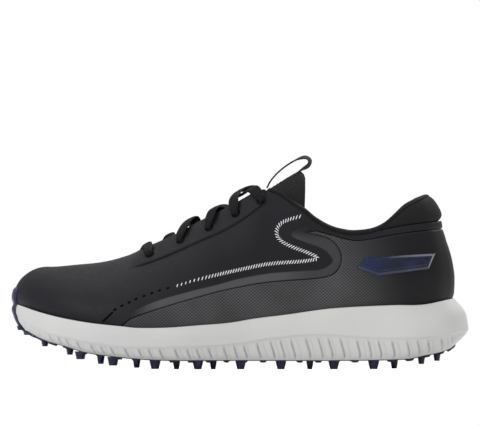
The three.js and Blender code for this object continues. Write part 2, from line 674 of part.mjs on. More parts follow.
function upperParts() {
  const skin = layer(() => 0, () => SKIN_INNER);
  const padding = layer(() => PAD_OUTER, padInner);
  const lining = layer(liningOuter, liningInner);
  const overlay = layer(() => FIT_GAP + OVERLAY_THICKNESS, () => FIT_GAP);
  const eyelets = eyeletCutters();

  const quarters = skin.intersect(sidePrism(quarterInner()));
  const tabBlock = layer(() => 0.4, padInner).intersect(heelTabPrism(0));
  const saddle = skin.subtract(sidePrism(quarterOutline())).subtract(heelTabPrism(-PANEL_GAP));

  const eyestay = overlay.intersect(sidePrism(above(scaled(EYESTAY_EDGE))));

  const counterTop = scaled(COUNTER_TOP);
  const counter = padding.intersect(sidePrism([new THREE.Vector2(counterTop[0].x, 0), ...counterTop,
    new THREE.Vector2(counterTop[3].x + 20, counterTop[3].y), new THREE.Vector2(counterTop[3].x + 20, 0)]));
  const foamLow = shiftLine(counterTop, 0, 2);
  const foamFront = [new THREE.Vector2(40 * KX, 130 * KZ), new THREE.Vector2(40 * KX, 84 * KZ),
    new THREE.Vector2(62 * KX, 70 * KZ)];
  const foamBlock = sidePrism(above([...foamFront, ...foamLow.slice(1)]));
  const foam = padding.intersect(foamBlock).subtract(heelTabPrism(-PANEL_GAP));
  const toeEnd = -108 * KX;
  const puffBlock = sidePrism([[-170 * KX, 0], [toeEnd, 0], [toeEnd, 120 * KZ], [-170 * KX, 120 * KZ]]
    .map(([x, z]) => new THREE.Vector2(x, z)));
  const puff = padding.intersect(puffBlock);

  return {
    saddle: mainBody(cutAll(saddle, eyelets)),
    lateralQuarter: mainBody(quarters.intersect(halfSpace(-1))),
    medialQuarter: mainBody(quarters.intersect(halfSpace(1))),
    heelTab: mainBody(tabBlock),
    eyestay: mainBody(cutAll(eyestay, eyelets)),
    lining: cutAll(lining, eyelets),
    counter: mainBody(counter),
    foam: mainBody(foam),
    puff: mainBody(puff),
  };
}

// Rounded edge that closes the collar, swept round its rim from throat to throat.
function collarBinding() {
  const first = 8 * STEPS_PER_STATION;
  const sections = [];
  for (let i = first; i <= ROUND - first; i += 1) {
    const rim = form.number(i, LEVELS);
    const below = form.points[form.number(i, LEVELS - 1)];
    const up = form.points[rim].clone().sub(below).normalize();
    const out = form.normals[rim];
    const depth = -liningInner(i, LEVELS);
    const place = (distance, height) => form.points[rim].clone()
      .addScaledVector(out, distance).addScaledVector(up, height);
    const middle = [-0.1, -0.35, -0.65, -0.9].map((share, k) => {
      const height = BINDING_HEIGHT * [0.8, 1, 1, 0.8][k];
      return place(share * depth, height);
    });
    sections.push([place(BINDING_OVERLAP, FIT_GAP), ...middle, place(-depth, FIT_GAP)]);
  }
  const bottom = sections.map((section) => section.map((_, k) => {
    const share = k / (section.length - 1);
    return section[0].clone().lerp(section[section.length - 1], share);
  }));
  const side = new THREE.Vector3(0, 0, BINDING_SIDE);
  const top = sections.map((section, s) => section.map((point, k) => (
    k === 0 || k === section.length - 1 ? bottom[s][k].clone().add(side) : point)));
  return outwardSlab(top, bottom);
}

function emblem(side) {
  const raised = layer(() => FIT_GAP + EMBLEM_THICKNESS, () => FIT_GAP);
  return mainBody(raised.intersect(sidePrism(scaled(BADGE), side)).intersect(halfSpace(side)));
}

function stitching(side) {
  const curve = new THREE.SplineCurve(scaled(STITCH_LINE));
  const line = curve.getPoints(30);
  const raised = layer(() => FIT_GAP + 0.6, () => FIT_GAP);
  return mainBody(raised.intersect(sidePrism(strip(line, STITCH_WIDTH), side)).intersect(halfSpace(side)));
}

// ---------------------------------------------------------------- tongue

function tongueSheet(fromX, toX, depth) {
  const stations = 8;
  const across = 10;
  return Array.from({ length: stations + 1 }, (_, s) => {
    const x = fromX + ((toX - fromX) * s) / stations;
    const slope = tongueCentre(x + 0.5) - tongueCentre(x - 0.5);
    const inward = new THREE.Vector3(slope, 0, -1).normalize();
    const drawnX = x / KX;
    const reach = 20.35 + 9 * smoothStep(drawnX, -76, -20) - 7 * smoothStep(drawnX, 0, 34);
    const halfWidth = reach * KY - WALL_DEPTH;
    const shoulder = 1.4e-4 * smoothStep(drawnX, -10, 30);
    return Array.from({ length: across + 1 }, (__, c) => {
      const y = halfWidth * ((2 * c) / across - 1);
      const sag = (0.025 * y ** 2 + shoulder * y ** 4) * KZ;
      const edge = 1 - 0.5 * Math.abs(y / halfWidth) ** 3;
      const crown = new THREE.Vector3(x, y - 2 * KY, tongueCentre(x) - sag);
      return crown.addScaledVector(inward, depth * edge);
    });
  });
}

// The tongue keeps a space to the inner wall for the lace, and is sewn in at its front end.
function tonguePiece(fromX, toX) {
  const top = tongueSheet(fromX, toX, 0);
  const bottom = tongueSheet(fromX, toX, TONGUE_THICKNESS);
  const piece = outwardSlab(top, bottom);
  const behindSeam = sidePrism([[-66, 0], [200, 0], [200, 400], [-66, 400]]
    .map(([x, z]) => new THREE.Vector2(x * KX, z)));
  const sewnWall = layer(() => 1, (i, level) => liningInner(i, level) - FIT_GAP);
  const freeWall = layer(() => 1, (i, level) => liningInner(i, level) - TONGUE_SIDE_SPACE);
  return mainBody(piece.subtract(sewnWall).subtract(freeWall.intersect(behindSeam)));
}

function pullLoop() {
  const line = new THREE.SplineCurve(scaled(LOOP_LINE)).getPoints(18);
  const outline = strip(line, LOOP_THICKNESS);
  const shape = new THREE.Shape(outline);
  const geometry = new THREE.ExtrudeGeometry(shape, { depth: LOOP_WIDTH, bevelEnabled: false });
  geometry.rotateX(Math.PI / 2);
  geometry.translate(0, LOOP_WIDTH / 2 - 1.5, 0);
  const solid = solidFromGeometry(geometry);
  return solid.volume() > 0 ? solid : solidFromGeometry(geometry.scale(1, -1, 1));
}

// ---------------------------------------------------------------- lace

function eyeletSpots(side) {
  return EYELETS.map(([x, z]) => onUpper(x * KX, z * KZ, side));
}

function throatEdge(x, side) {
  const rimPoint = (i) => form.points[form.number(side < 0 ? i : opposite(i), LEVELS)];
  let i = RIDGE_END * STEPS_PER_STATION;
  while (rimPoint(i + 1).x < x) i += 1;
  const [a, b] = [rimPoint(i), rimPoint(i + 1)];
  return a.clone().lerp(b, (x - a.x) / (b.x - a.x));
}

const LACE_OVER = FIT_GAP + OVERLAY_THICKNESS + LACE_RADIUS + 0.7;
const LACE_UNDER = WALL_DEPTH + LACE_RADIUS + 0.6;
const CROSSING = LACE_RADIUS + 0.25;

// Places beside the inner wall that each tucked-in end passes on its way down to the insole:
// x, z and how much farther it stands off the wall there.
const LACE_TAIL = [[10, 102, 0], [7, 92, 0], [4, 82, 0.5], [1, 73, 2], [-1, 66, 4]];
const LACE_TAIL_DEPTH = WALL_DEPTH + AGLET_RADIUS + 0.5;

// Half of the lace, from the bar across the throat to the end tucked inside.
function laceHalf(start) {
  const spots = { '-1': eyeletSpots(-1), 1: eyeletSpots(1) };
  const hole = (k, side) => spots[side][k].point.clone();
  const over = (k, side) => hole(k, side).addScaledVector(spots[side][k].normal, LACE_OVER);
  const under = (k, side) => hole(k, side).addScaledVector(spots[side][k].normal, -LACE_UNDER);
  const edgeOver = (x, side) => throatEdge(x, side).add(new THREE.Vector3(0, side * 1.5, LACE_OVER + 1.1));
  const edgeUnder = (x, side) => throatEdge(x, side)
    .add(new THREE.Vector3(0, -side * 3.5, -LACE_UNDER - 0.5));
  const xOf = (k) => EYELETS[k][0] * KX;
  const route = [over(0, start), hole(0, start), under(0, start), edgeUnder(xOf(0) + 5, start)];
  let side = start;
  for (let k = 1; k <= 4; k += 1) {
    const [crestX, crestZ] = LACE_CREST[k];
    route.push(new THREE.Vector3(crestX * KX, -1.5 * KY, crestZ * KZ + start * CROSSING));
    side = -side;
    if (k < 4) {
      route.push(edgeUnder(xOf(k) - 6, side), under(k, side), hole(k, side), over(k, side));
      route.push(edgeOver(xOf(k) + LACE_LEAN[k], side));
    } else {
      route.push(edgeOver(xOf(k) - 4.5, side), over(k, side), hole(k, side), under(k, side));
    }
  }
  LACE_TAIL.forEach(([x, z, away]) => {
    const spot = onUpper(x * KX, z * KZ, side);
    route.push(spot.point.addScaledVector(spot.normal, -LACE_TAIL_DEPTH - away));
  });
  return route;
}

function lacePath() {
  const bar = [-1, 1].map((side) => throatEdge((EYELETS[0][0] - 3) * KX, side)
    .add(new THREE.Vector3(0, 0, LACE_OVER)));
  const crest = new THREE.Vector3(LACE_CREST[0][0] * KX, -1.5 * KY, LACE_CREST[0][1] * KZ);
  const points = [...laceHalf(-1).reverse(), bar[0], crest, bar[1], ...laceHalf(1)];
  return new THREE.CatmullRomCurve3(points, false, 'centripetal');
}

function tubeAlong(path, radius, steps) {
  const section = new THREE.Shape();
  section.absarc(0, 0, radius, 0, 2 * Math.PI);
  const geometry = new THREE.ExtrudeGeometry(section, { steps, curveSegments: 4, extrudePath: path });
  return solidFromGeometry(geometry);
}

function aglet(path, atStart) {
  const end = path.getPointAt(atStart ? 0 : 1);
  const way = path.getTangentAt(atStart ? 0 : 1).multiplyScalar(atStart ? -1 : 1);
  const tip = new THREE.CylinderGeometry(AGLET_RADIUS * 0.8, AGLET_RADIUS, AGLET_LENGTH, 8);
  tip.applyQuaternion(new THREE.Quaternion().setFromUnitVectors(new THREE.Vector3(0, 1, 0), way));
  const middle = end.addScaledVector(way, AGLET_LENGTH / 2 + FIT_GAP);
  tip.translate(middle.x, middle.y, middle.z);
  return solidFromGeometry(tip);
}

// ---------------------------------------------------------------- assembly

function buildShoe() {
  const shoe = new THREE.Group();
  const add = (name, solid, look) => shoe.add(partMesh(name, solid, look));
  const rings = midsoleRings();
  const insoleFloor = BOARD_THICKNESS + 2 * FIT_GAP;

  add('outsole', outsole(rings), navyRubber);
  add('midsole', loftRings(rings), paleFoam);
  add('strobel_board', board(FIT_GAP, BOARD_THICKNESS, INSOLE_MARGIN - 1.5), boardWhite);
  add('insole', board(insoleFloor, INSOLE_THICKNESS, INSOLE_MARGIN), blackFoam);
  const coverFloor = insoleFloor + INSOLE_THICKNESS + FIT_GAP;
  add('insole_cover', board(coverFloor, COVER_THICKNESS, INSOLE_MARGIN), blackFabric);

  const parts = upperParts();
  add('vamp_saddle', parts.saddle, charcoal);
  add('lateral_quarter', parts.lateralQuarter, meshGrey);
  add('medial_quarter', parts.medialQuarter, meshGrey);
  add('heel_tab', parts.heelTab, blackFoam);
  add('eyestay', parts.eyestay, charcoal);
  add('lining', parts.lining, blackFabric);
  add('heel_counter', parts.counter, boardWhite);
  add('collar_foam', parts.foam, blackFoam);
  add('toe_puff', parts.puff, boardWhite);
  add('collar_binding', collarBinding(), blackFabric);
  add('lateral_emblem', emblem(-1), navyGloss);
  add('medial_emblem', emblem(1), navyGloss);
  add('lateral_stitching', stitching(-1), silverThread);
  add('medial_stitching', stitching(1), silverThread);

  add('tongue_base', tonguePiece(-76 * KX, TONGUE_CUT_X * KX - PANEL_GAP), blackFabric);
  add('tongue_flap', tonguePiece(TONGUE_CUT_X * KX, 41 * KX), blackFabric);
  add('pull_loop', pullLoop(), blackFabric);

  const path = lacePath();
  add('lace', tubeAlong(path, LACE_RADIUS, 110), blackFabric);
  add('lateral_aglet', aglet(path, true), clearPlastic);
  add('medial_aglet', aglet(path, false), clearPlastic);

  const box = new THREE.Box3().setFromObject(shoe);
  const centre = box.getCenter(new THREE.Vector3());
  shoe.position.set(-centre.x, -centre.y, -box.min.z);
  return shoe;
}

export default buildShoe();
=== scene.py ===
import math

import bmesh
import bpy
import numpy as np
from mathutils import Matrix, Vector


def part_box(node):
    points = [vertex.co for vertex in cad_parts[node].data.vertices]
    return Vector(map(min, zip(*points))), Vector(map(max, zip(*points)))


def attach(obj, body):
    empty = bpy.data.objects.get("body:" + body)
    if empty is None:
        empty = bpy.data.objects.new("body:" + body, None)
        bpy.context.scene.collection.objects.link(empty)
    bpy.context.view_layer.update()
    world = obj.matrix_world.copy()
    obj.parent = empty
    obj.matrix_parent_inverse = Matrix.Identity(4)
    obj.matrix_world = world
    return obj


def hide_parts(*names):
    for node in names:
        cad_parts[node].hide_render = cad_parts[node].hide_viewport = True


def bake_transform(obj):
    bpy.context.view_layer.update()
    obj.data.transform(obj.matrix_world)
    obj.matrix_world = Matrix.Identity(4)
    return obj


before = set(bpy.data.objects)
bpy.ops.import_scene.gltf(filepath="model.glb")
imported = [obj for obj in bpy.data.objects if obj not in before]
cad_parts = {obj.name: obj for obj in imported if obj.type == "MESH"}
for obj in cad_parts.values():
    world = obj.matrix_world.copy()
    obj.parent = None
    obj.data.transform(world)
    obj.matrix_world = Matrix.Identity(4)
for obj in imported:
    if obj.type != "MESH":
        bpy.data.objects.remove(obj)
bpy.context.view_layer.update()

MM = 0.001

# ------------------------------------------------------------ sizes of the shoe, in millimetres

FIT_GAP = 0.35
SKIN_THICKNESS = 1.8
LINING_THICKNESS = 1.2
STIFFENER_SPACE = 2.1
FOAM_SPACE = 5.4
OVERLAY_THICKNESS = 1.0
BINDING_HEIGHT = 3.0
CUP_DEPTH = 7.0
CUP_RIM = 2.4
HEEL_FLARE = 9.6
OUTSOLE_MARGIN = 9.0
OUTSOLE_THICKNESS = 2.6
OUTSOLE_PROUD = 0.8
SOLE_LIP = 2.6
BUMPER_THICKNESS = 1.5
STUD_HEIGHT = 5.4
LARGE_STUD = 3.6
SMALL_STUD = 2.4
EYELET_RADIUS = 2.3
LACE_RADIUS = 1.25
AGLET_RADIUS = 1.8
TONGUE_THICKNESS = 4.6
SHOE_HALF_WIDTH = 54.75
WALL_DEPTH = SKIN_THICKNESS + FIT_GAP + LINING_THICKNESS
TOE_X, HEEL_X = -149, 151
TOP_INSETS = np.array([1.0, HEEL_FLARE, 1.9])
CUP_EDGE = 0.1
CUP_LAP = 0.4
WALL_HEIGHT = 62
BULGE = 4.2
BULGE_TURN = 0.18
BULGE_HEIGHT = 0.42

# Toe tip to heel tip: sole x, lateral y, medial y; then the top edge's x, lateral y, medial y,
# and how the side of the upper is pulled in and dropped next to that edge.
STATIONS = np.array([
    (-149, 8, 8, -127, 5.5, 5.5, 0.72, 0.4),
    (-146, -6, 21, -124, 5, 5, 0.72, 0.4),
    (-138, -21, 32, -116, 4, 4, 0.7, 0.4),
    (-122, -37.5, 43, -104, 2.5, 2.5, 0.64, 0.3),
    (-100, -50, 50, -87, 1, 1, 0.58, 0.3),
    (-76, -56, 53.5, -69, 0, 0, 0.55, 0.5),
    (-48, -56, 50.5, -50, -14.5, 12.5, 0.46, 6),
    (-18, -50.5, 41.5, -18, -17.5, 13.5, 0.42, 9),
    (14, -44.5, 36, 17.5, -23.5, 18.5, 0.4, 13),
    (48, -41.8, 36.5, 48, -31, 27, 0.4, 18),
    (84, -42, 38.5, 80, -32, 29, 0.3, 17),
    (116, -39.5, 36.5, 103, -27.5, 26, 0.42, 17),
    (138, -28.5, 27, 116, -18, 17.5, 0.52, 15),
    (148, -14, 13.5, 121, -9, 9, 0.6, 15),
    (151, 0, 0, 122.3, 0, 0, 0.62, 15),
])
RIDGE_END = 5
THROAT_TOP = 8
SPANS = len(STATIONS) - 1

TOP_EDGE = [
    (-148, 66), (-127, 66.9), (-107.7, 69), (-92.6, 70.5), (-82.5, 72.5), (-72.5, 75.5),
    (-67.3, 77.1), (-40.5, 88.9), (-24.4, 97.8), (-5.7, 107.2), (10, 116.2), (17.5, 120),
    (26.1, 117.8), (33.1, 112.8), (42.2, 106.8), (50.2, 100.2), (60.3, 94.7), (70.4, 92.2),
    (76.4, 91.9), (86.5, 93.2), (94.6, 96.7), (102.6, 103.2), (110.7, 109.8), (117.8, 113.8),
    (122.3, 115.6),
]
FEATHER_EDGE = [
    (-149, 43.6), (-132.8, 37.8), (-117.7, 33.8), (-97.6, 30.2), (-77.4, 28), (-67.3, 27),
    (-47.2, 27.2), (-27.1, 28.7), (-6.9, 30.4), (10, 33.2), (30.1, 35.7), (60.3, 39.8),
    (100.6, 42), (120.8, 42.4), (141.4, 46.8),
]
SOLE_RIDGE = [
    (-149, 38), (-140, 30), (-127.8, 24.5), (-107.7, 19.1), (-87.6, 15.6), (-67.3, 14.1),
    (-37.1, 14.1), (-17, 15.1), (0, 16.6), (20, 19.7), (50.2, 22.2), (85.5, 20.1), (120.8, 20.1),
    (135.9, 22.2), (151, 26),
]
SOLE_BOTTOM = [
    (-149, 35), (-144.9, 29.2), (-137.9, 24.1), (-127.8, 19.1), (-115.7, 15.6), (-102.6, 11.6),
    (-87.6, 9.1), (-67.3, 7), (-47.2, 6.1), (0, 6.1), (70.4, 6.1), (110.7, 7), (120.8, 9.1),
    (130.8, 11.1), (138.9, 14.1), (144.9, 19.1), (151, 23.5),
]
TONGUE_CENTRE = [
    (-76, 69.2), (-60, 73.2), (-50, 77.6), (-40.5, 82.8), (-24.4, 92), (-5.7, 101.8), (10, 111.4),
    (19, 118.6), (28, 124.4), (36, 129.2), (39, 130.5), (41.5, 129.6), (43.4, 126.6),
]

# Lines on the side of the upper, as x and z seen from the side.
SADDLE_EDGE = [
    (-78.5, 27.5), (-71.4, 33.3), (-62.3, 36.8), (-47.2, 41.8), (-17, 50.4), (0, 54.2), (15, 56.9),
    (30.1, 58.4), (45.2, 59.4), (56.3, 60.9), (62.3, 63.4), (65.9, 68.5), (66.7, 74.6), (64.4, 80.6),
    (59.3, 85.6), (52.3, 88.1), (43.2, 90.1),
]
UNDER_COLLAR = [(50.2, 91.2), (60.3, 88.6), (70, 85.9), (80.4, 85.1), (105.6, 89.6), (131, 92.6)]
HEEL_TAB_SEAM = [(66, 90.6), (76.4, 89.4), (88, 91.2), (100.6, 93.7), (115.7, 96.2), (134, 97.9)]
EYESTAY_EDGE = [
    (-73.5, 66), (-58.7, 70.2), (-41.9, 76.9), (-25.1, 84.5), (-8.3, 92.1), (8.5, 102.9), (17, 110.5),
]
PALE_BAND = [
    (-72.5, 37.2), (-57.3, 44.3), (-37.1, 50.4), (-17, 55.4), (0, 59.9), (20, 63.4), (40.2, 64.9),
    (53.3, 66), (60.3, 70.5), (59.1, 74.7), (54.3, 79.1), (45.2, 82.6), (35.2, 86.6), (33.7, 89.6),
    (36.2, 93.2), (44.2, 95.1),
]
EYELETS = [(-58.7, 74.4), (-38.9, 83.8), (-20.2, 92.3), (-2.3, 101.7), (14.0, 110.6)]
LACE_CREST = [(-63, 79.7), (-46.6, 87.2), (-30.4, 97.6), (-10.6, 105.2), (1.0, 116.6)]
LACE_LEAN = [0, 2.5, 2.5, -1.8]
STITCH_LINE = [
    (-41, 55), (-26, 59.4), (0, 65.5), (20, 69.4), (40.2, 70.9), (49.6, 72.4), (50.4, 74),
    (43.2, 77.2), (31, 82), (25.2, 86.6), (24.4, 91.7), (27.4, 96.2), (34, 99), (41.6, 100.9),
]
PERFORATIONS = [
    (-81.9, 39.3), (-77.4, 41.8), (-72.6, 44), (-68.1, 46.3), (-62.9, 48.2), (-57.8, 50.1),
    (-52.7, 51.9), (-47.2, 53.4),
]
SLOT = [(-89.6, 31.7), (-83.7, 37.2)]
BADGE = [(77, 66.5), (83, 73.5), (128, 76), (124, 66), (91, 61.5)]

# ------------------------------------------------------------ curves


def height_curve(rows):
    """Smooth height z as a function of x through the given points."""
    xs = np.array([row[0] for row in rows], float)
    zs = np.array([row[1] for row in rows], float)
    before = np.maximum(np.arange(len(xs)) - 1, 0)
    after = np.minimum(np.arange(len(xs)) + 1, len(xs) - 1)
    slopes = (zs[after] - zs[before]) / (xs[after] - xs[before])

    def height(x):
        x = np.asarray(x, float)
        i = np.clip(np.searchsorted(xs, x, side="right") - 1, 0, len(xs) - 2)
        span = xs[i + 1] - xs[i]
        t = np.clip((x - xs[i]) / span, 0, 1)
        value = zs[i] * (2 * t**3 - 3 * t**2 + 1) + slopes[i] * span * (t**3 - 2 * t**2 + t)
        value = value + zs[i + 1] * (3 * t**2 - 2 * t**3) + slopes[i + 1] * span * (t**3 - t**2)
        below = np.minimum(x - xs[0], 0) * slopes[0]
        beyond = np.maximum(x - xs[-1], 0) * slopes[-1]
        return value + below + beyond

    return height


top_edge = height_curve(TOP_EDGE)
feather_edge = height_curve(FEATHER_EDGE)
sole_ridge = height_curve(SOLE_RIDGE)
sole_bottom = height_curve(SOLE_BOTTOM)
tongue_centre = height_curve(TONGUE_CENTRE)


def smooth_step(value, start, end):
    t = np.clip((np.asarray(value, float) - start) / (end - start), 0, 1)
    return t * t * (3 - 2 * t)


def around(values_lateral, values_medial, u):
    """Value at place u round the shoe: 0 toe tip, SPANS heel tip by the lateral side, 2 SPANS toe tip."""
    ring_values = np.concatenate([values_lateral, values_medial[-2:0:-1]])
    count = len(ring_values)
    u = np.asarray(u, float)
    i = np.floor(u).astype(int)
    t = u - i
    p0, p1, p2, p3 = (ring_values[(i + k) % count] for k in (-1, 0, 1, 2))
    m1, m2 = 0.5 * (p2 - p0), 0.5 * (p3 - p1)
    return (p1 * (2 * t**3 - 3 * t**2 + 1) + m1 * (t**3 - 2 * t**2 + t)
            + p2 * (3 * t**2 - 2 * t**3) + m2 * (t**3 - t**2))


def column(index, u, medial=None):
    """One column of the stations at place u, with another column for the medial side if given."""
    return around(STATIONS[:, index], STATIONS[:, index if medial is None else medial], u)


def ring(u, toe_inset, heel_inset, side_inset):
    """Plan position of a ring moved in from the widest outline of the sole."""
    x, y = column(0, u), column(1, u, 2)
    y_opposite = column(1, 2 * SPANS - u, 2)
    start, end = TOE_X + toe_inset, HEEL_X - heel_inset
    centre = (y + y_opposite) / 2
    across = centre + (y - centre) * (1 - side_inset / SHOE_HALF_WIDTH)
    return start + (end - start) * (x - TOE_X) / (HEEL_X - TOE_X), across


def on_ridge(u):
    """Whether the two sides of the upper meet here on the toe's ridge, ahead of the throat."""
    return np.minimum(u % (2 * SPANS), (-u) % (2 * SPANS)) <= RIDGE_END + 1e-9


def form_point(u, v):
    """Outer surface of the upper: v 0 lies in the sole cup, CUP_EDGE at its rim, 1 at the top edge."""
    rim = CUP_RIM + FIT_GAP + 0.1
    bx, by = ring(u, *(rim + TOP_INSETS))
    bz = feather_edge(bx)
    top_x = column(3, u)
    top_y = column(4, u, 5)
    centre = (top_y + column(4, 2 * SPANS - u, 5)) / 2
    top_y = np.where(on_ridge(u), centre, top_y)
    top_z = top_edge(top_x) - BINDING_HEIGHT * smooth_step(top_x, 8, 24)
    pull, drop = column(6, u), column(7, u)
    base = np.stack([bx, by, bz + CUP_LAP], -1)
    top = np.stack([top_x, top_y, top_z], -1)
    out = np.stack([BULGE_TURN * bx, by, 0 * bx], -1)
    out /= np.linalg.norm(out, axis=-1, keepdims=True)
    rise = top_z - base[..., 2]
    low = base + BULGE * out
    low[..., 2] = base[..., 2] + BULGE_HEIGHT * rise
    high = top + (base - top) * pull[..., None]
    high[..., 2] = top_z - drop
    t = np.clip((v - CUP_EDGE) / (1 - CUP_EDGE), 0, 1)[..., None]
    point = (1 - t)**3 * base + 3 * (1 - t)**2 * t * low + 3 * (1 - t) * t**2 * high + t**3 * top
    tuck = np.clip(1 - v / CUP_EDGE, 0, 1)
    point[..., 2] -= tuck * (CUP_DEPTH - FIT_GAP + CUP_LAP)
    return point


def padding_space(v, x):
    """Room between skin and lining: the stiffeners at toe and heel, the foam at the collar."""
    toe = STIFFENER_SPACE * (1 - smooth_step(x, -114, -100))
    heel = STIFFENER_SPACE * smooth_step(x, 62, 80)
    collar = FOAM_SPACE * smooth_step(x, 16, 44) * smooth_step(v, 0.45, 0.75)
    return np.maximum(np.maximum(toe, heel), collar)


def unit(vectors):
    return vectors / (np.linalg.norm(vectors, axis=-1, keepdims=True) + 1e-12)


def form_normal(u, v):
    """Outward normal of the upper's surface, turned upright where the sides meet on the toe's ridge."""
    du, dv = 0.01, 0.004
    v_on, edge = np.clip(v, CUP_EDGE, 1), v * 0 + 1
    v_low, v_high = np.clip(v - dv, CUP_EDGE + dv, 1), np.clip(v + dv, CUP_EDGE + 2 * dv, 1)
    along = form_point(u + du, v_on) - form_point(u - du, v_on)
    normal = unit(np.cross(along, form_point(u, v_high) - form_point(u, v_low)))
    level = np.cross(form_point(u + du, edge) - form_point(u - du, edge), np.array([0, 1.0, 0]))
    level = unit(level * np.sign(level[..., 2:3]))
    ridge = (smooth_step(v, 0.97, 1.0) * on_ridge(u))[..., None]
    return unit(normal * (1 - ridge) + level * ridge)


def path_length(points):
    """Distance run along a line at each of its points."""
    return np.concatenate([[0], np.cumsum(np.linalg.norm(np.diff(points, axis=0), axis=1))])


# ------------------------------------------------------------ place of the drawn form in the frame

U_FINE = np.linspace(0, 2 * SPANS, 2241)
SOLE_X, SOLE_Y = ring(U_FINE, 0, 0, 0)
ARC_LENGTH = path_length(np.stack([SOLE_X, SOLE_Y], -1))
MIDSOLE_LOW, MIDSOLE_HIGH = (np.array(corner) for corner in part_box("midsole"))
SHIFT = np.array([
    MIDSOLE_HIGH[0] / MM - SOLE_X.max(),
    (MIDSOLE_LOW[1] + MIDSOLE_HIGH[1]) / MM / 2 - (SOLE_Y.min() + SOLE_Y.max()) / 2,
    0.0,
])


def to_frame(points):
    """Millimetres on the drawn form to metres in the shared frame."""
    return (np.asarray(points, float) + SHIFT) * MM


# ------------------------------------------------------------ mesh building


def make_object(name, points, faces, uv=None, layers=None):
    """New object from points in millimetres; uv and layers hold one row per point."""
    mesh = bpy.data.meshes.new(name)
    mesh.from_pydata(to_frame(points).tolist(), [], [list(map(int, face)) for face in faces])
    loops = np.zeros(len(mesh.loops), int)
    mesh.loops.foreach_get("vertex_index", loops)
    if uv is not None:
        layer = mesh.uv_layers.new(name="surface")
        layer.data.foreach_set("uv", np.asarray(uv, np.float32)[loops].ravel())
    for key, values in (layers or {}).items():
        attribute = mesh.attributes.new(key, "FLOAT", "POINT")
        attribute.data.foreach_set("value", np.asarray(values, np.float32))
    mesh.polygons.foreach_set("use_smooth", [True] * len(mesh.polygons))
    mesh.update()
    obj = bpy.data.objects.new(name, mesh)
    bpy.context.scene.collection.objects.link(obj)
    return obj


def dress(obj, material, slot, *nodes, body="shoe"):
    """Gives a piece its material and its body and hides the CAD nodes it stands in for; slot is not used.
    """
    obj.data.materials.clear()
    obj.data.materials.append(material)
    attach(obj, body)
    if nodes:
        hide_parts(*nodes)
    return obj


def finish_with(obj, kind, **settings):
    """Adds one modifier and applies it."""
    modifier = obj.modifiers.new(kind.lower(), kind)
    for key, value in settings.items():
        setattr(modifier, key, value)
    bpy.ops.object.select_all(action="DESELECT")
    obj.select_set(True)
    bpy.context.view_layer.objects.active = obj
    bpy.ops.object.modifier_apply(modifier=modifier.name)


def outward_faces(obj):
    """Turns every face of a closed piece outward."""
    work = bmesh.new()
    work.from_mesh(obj.data)
    bmesh.ops.recalc_face_normals(work, faces=work.faces)
    work.to_mesh(obj.data)
    work.free()


def grid_faces(rows, columns, closed=False):
    """Faces between neighbouring rows of points; closed joins each row's end to its start."""
    faces = []
    for r in range(0, (rows - 1) * columns, columns):
        for c in range(columns if closed else columns - 1):
            d = (c + 1) % columns
            faces.append((r + c, r + d, r + columns + d, r + columns + c))
    return faces


def closed_slab(top, under):
    """Points and faces of a closed piece between two equal grids of points."""
    rows, columns = top.shape[:2]
    count = rows * columns
    faces = grid_faces(rows, columns)
    faces += [tuple(index + count for index in face[::-1]) for face in faces]
    index = np.arange(count).reshape(rows, columns)
    rim = [*index[0], *index[1:, -1], *index[-1, -2::-1], *index[-2:0:-1, 0]]
    faces += [(b, a, a + count, b + count) for a, b in zip(rim, rim[1:] + rim[:1])]
    return np.concatenate([top.reshape(-1, 3), under.reshape(-1, 3)]), faces


def swept_piece(name, sections, run, across):
    """Closed piece along a path: each section is one line of points down its whole length."""
    grid = np.stack(sections, 1)
    rows, columns = grid.shape[:2]
    faces = grid_faces(rows, columns, closed=True)
    faces += [tuple(range(columns))[::-1], tuple(range((rows - 1) * columns, rows * columns))]
    uv = np.stack(np.broadcast_arrays(run[:, None], across), -1).reshape(-1, 2) * MM
    piece = make_object(name, grid.reshape(-1, 3), faces, uv)
    outward_faces(piece)
    return piece


def girth(angle_count):
    """Angles once round a section."""
    return np.linspace(0, 2 * math.pi, angle_count + 1)[:-1]


def squared(value, power):
    """Value with its sign kept and its size raised to a power, to square off a round section."""
    return math.copysign(abs(value)**power, value)


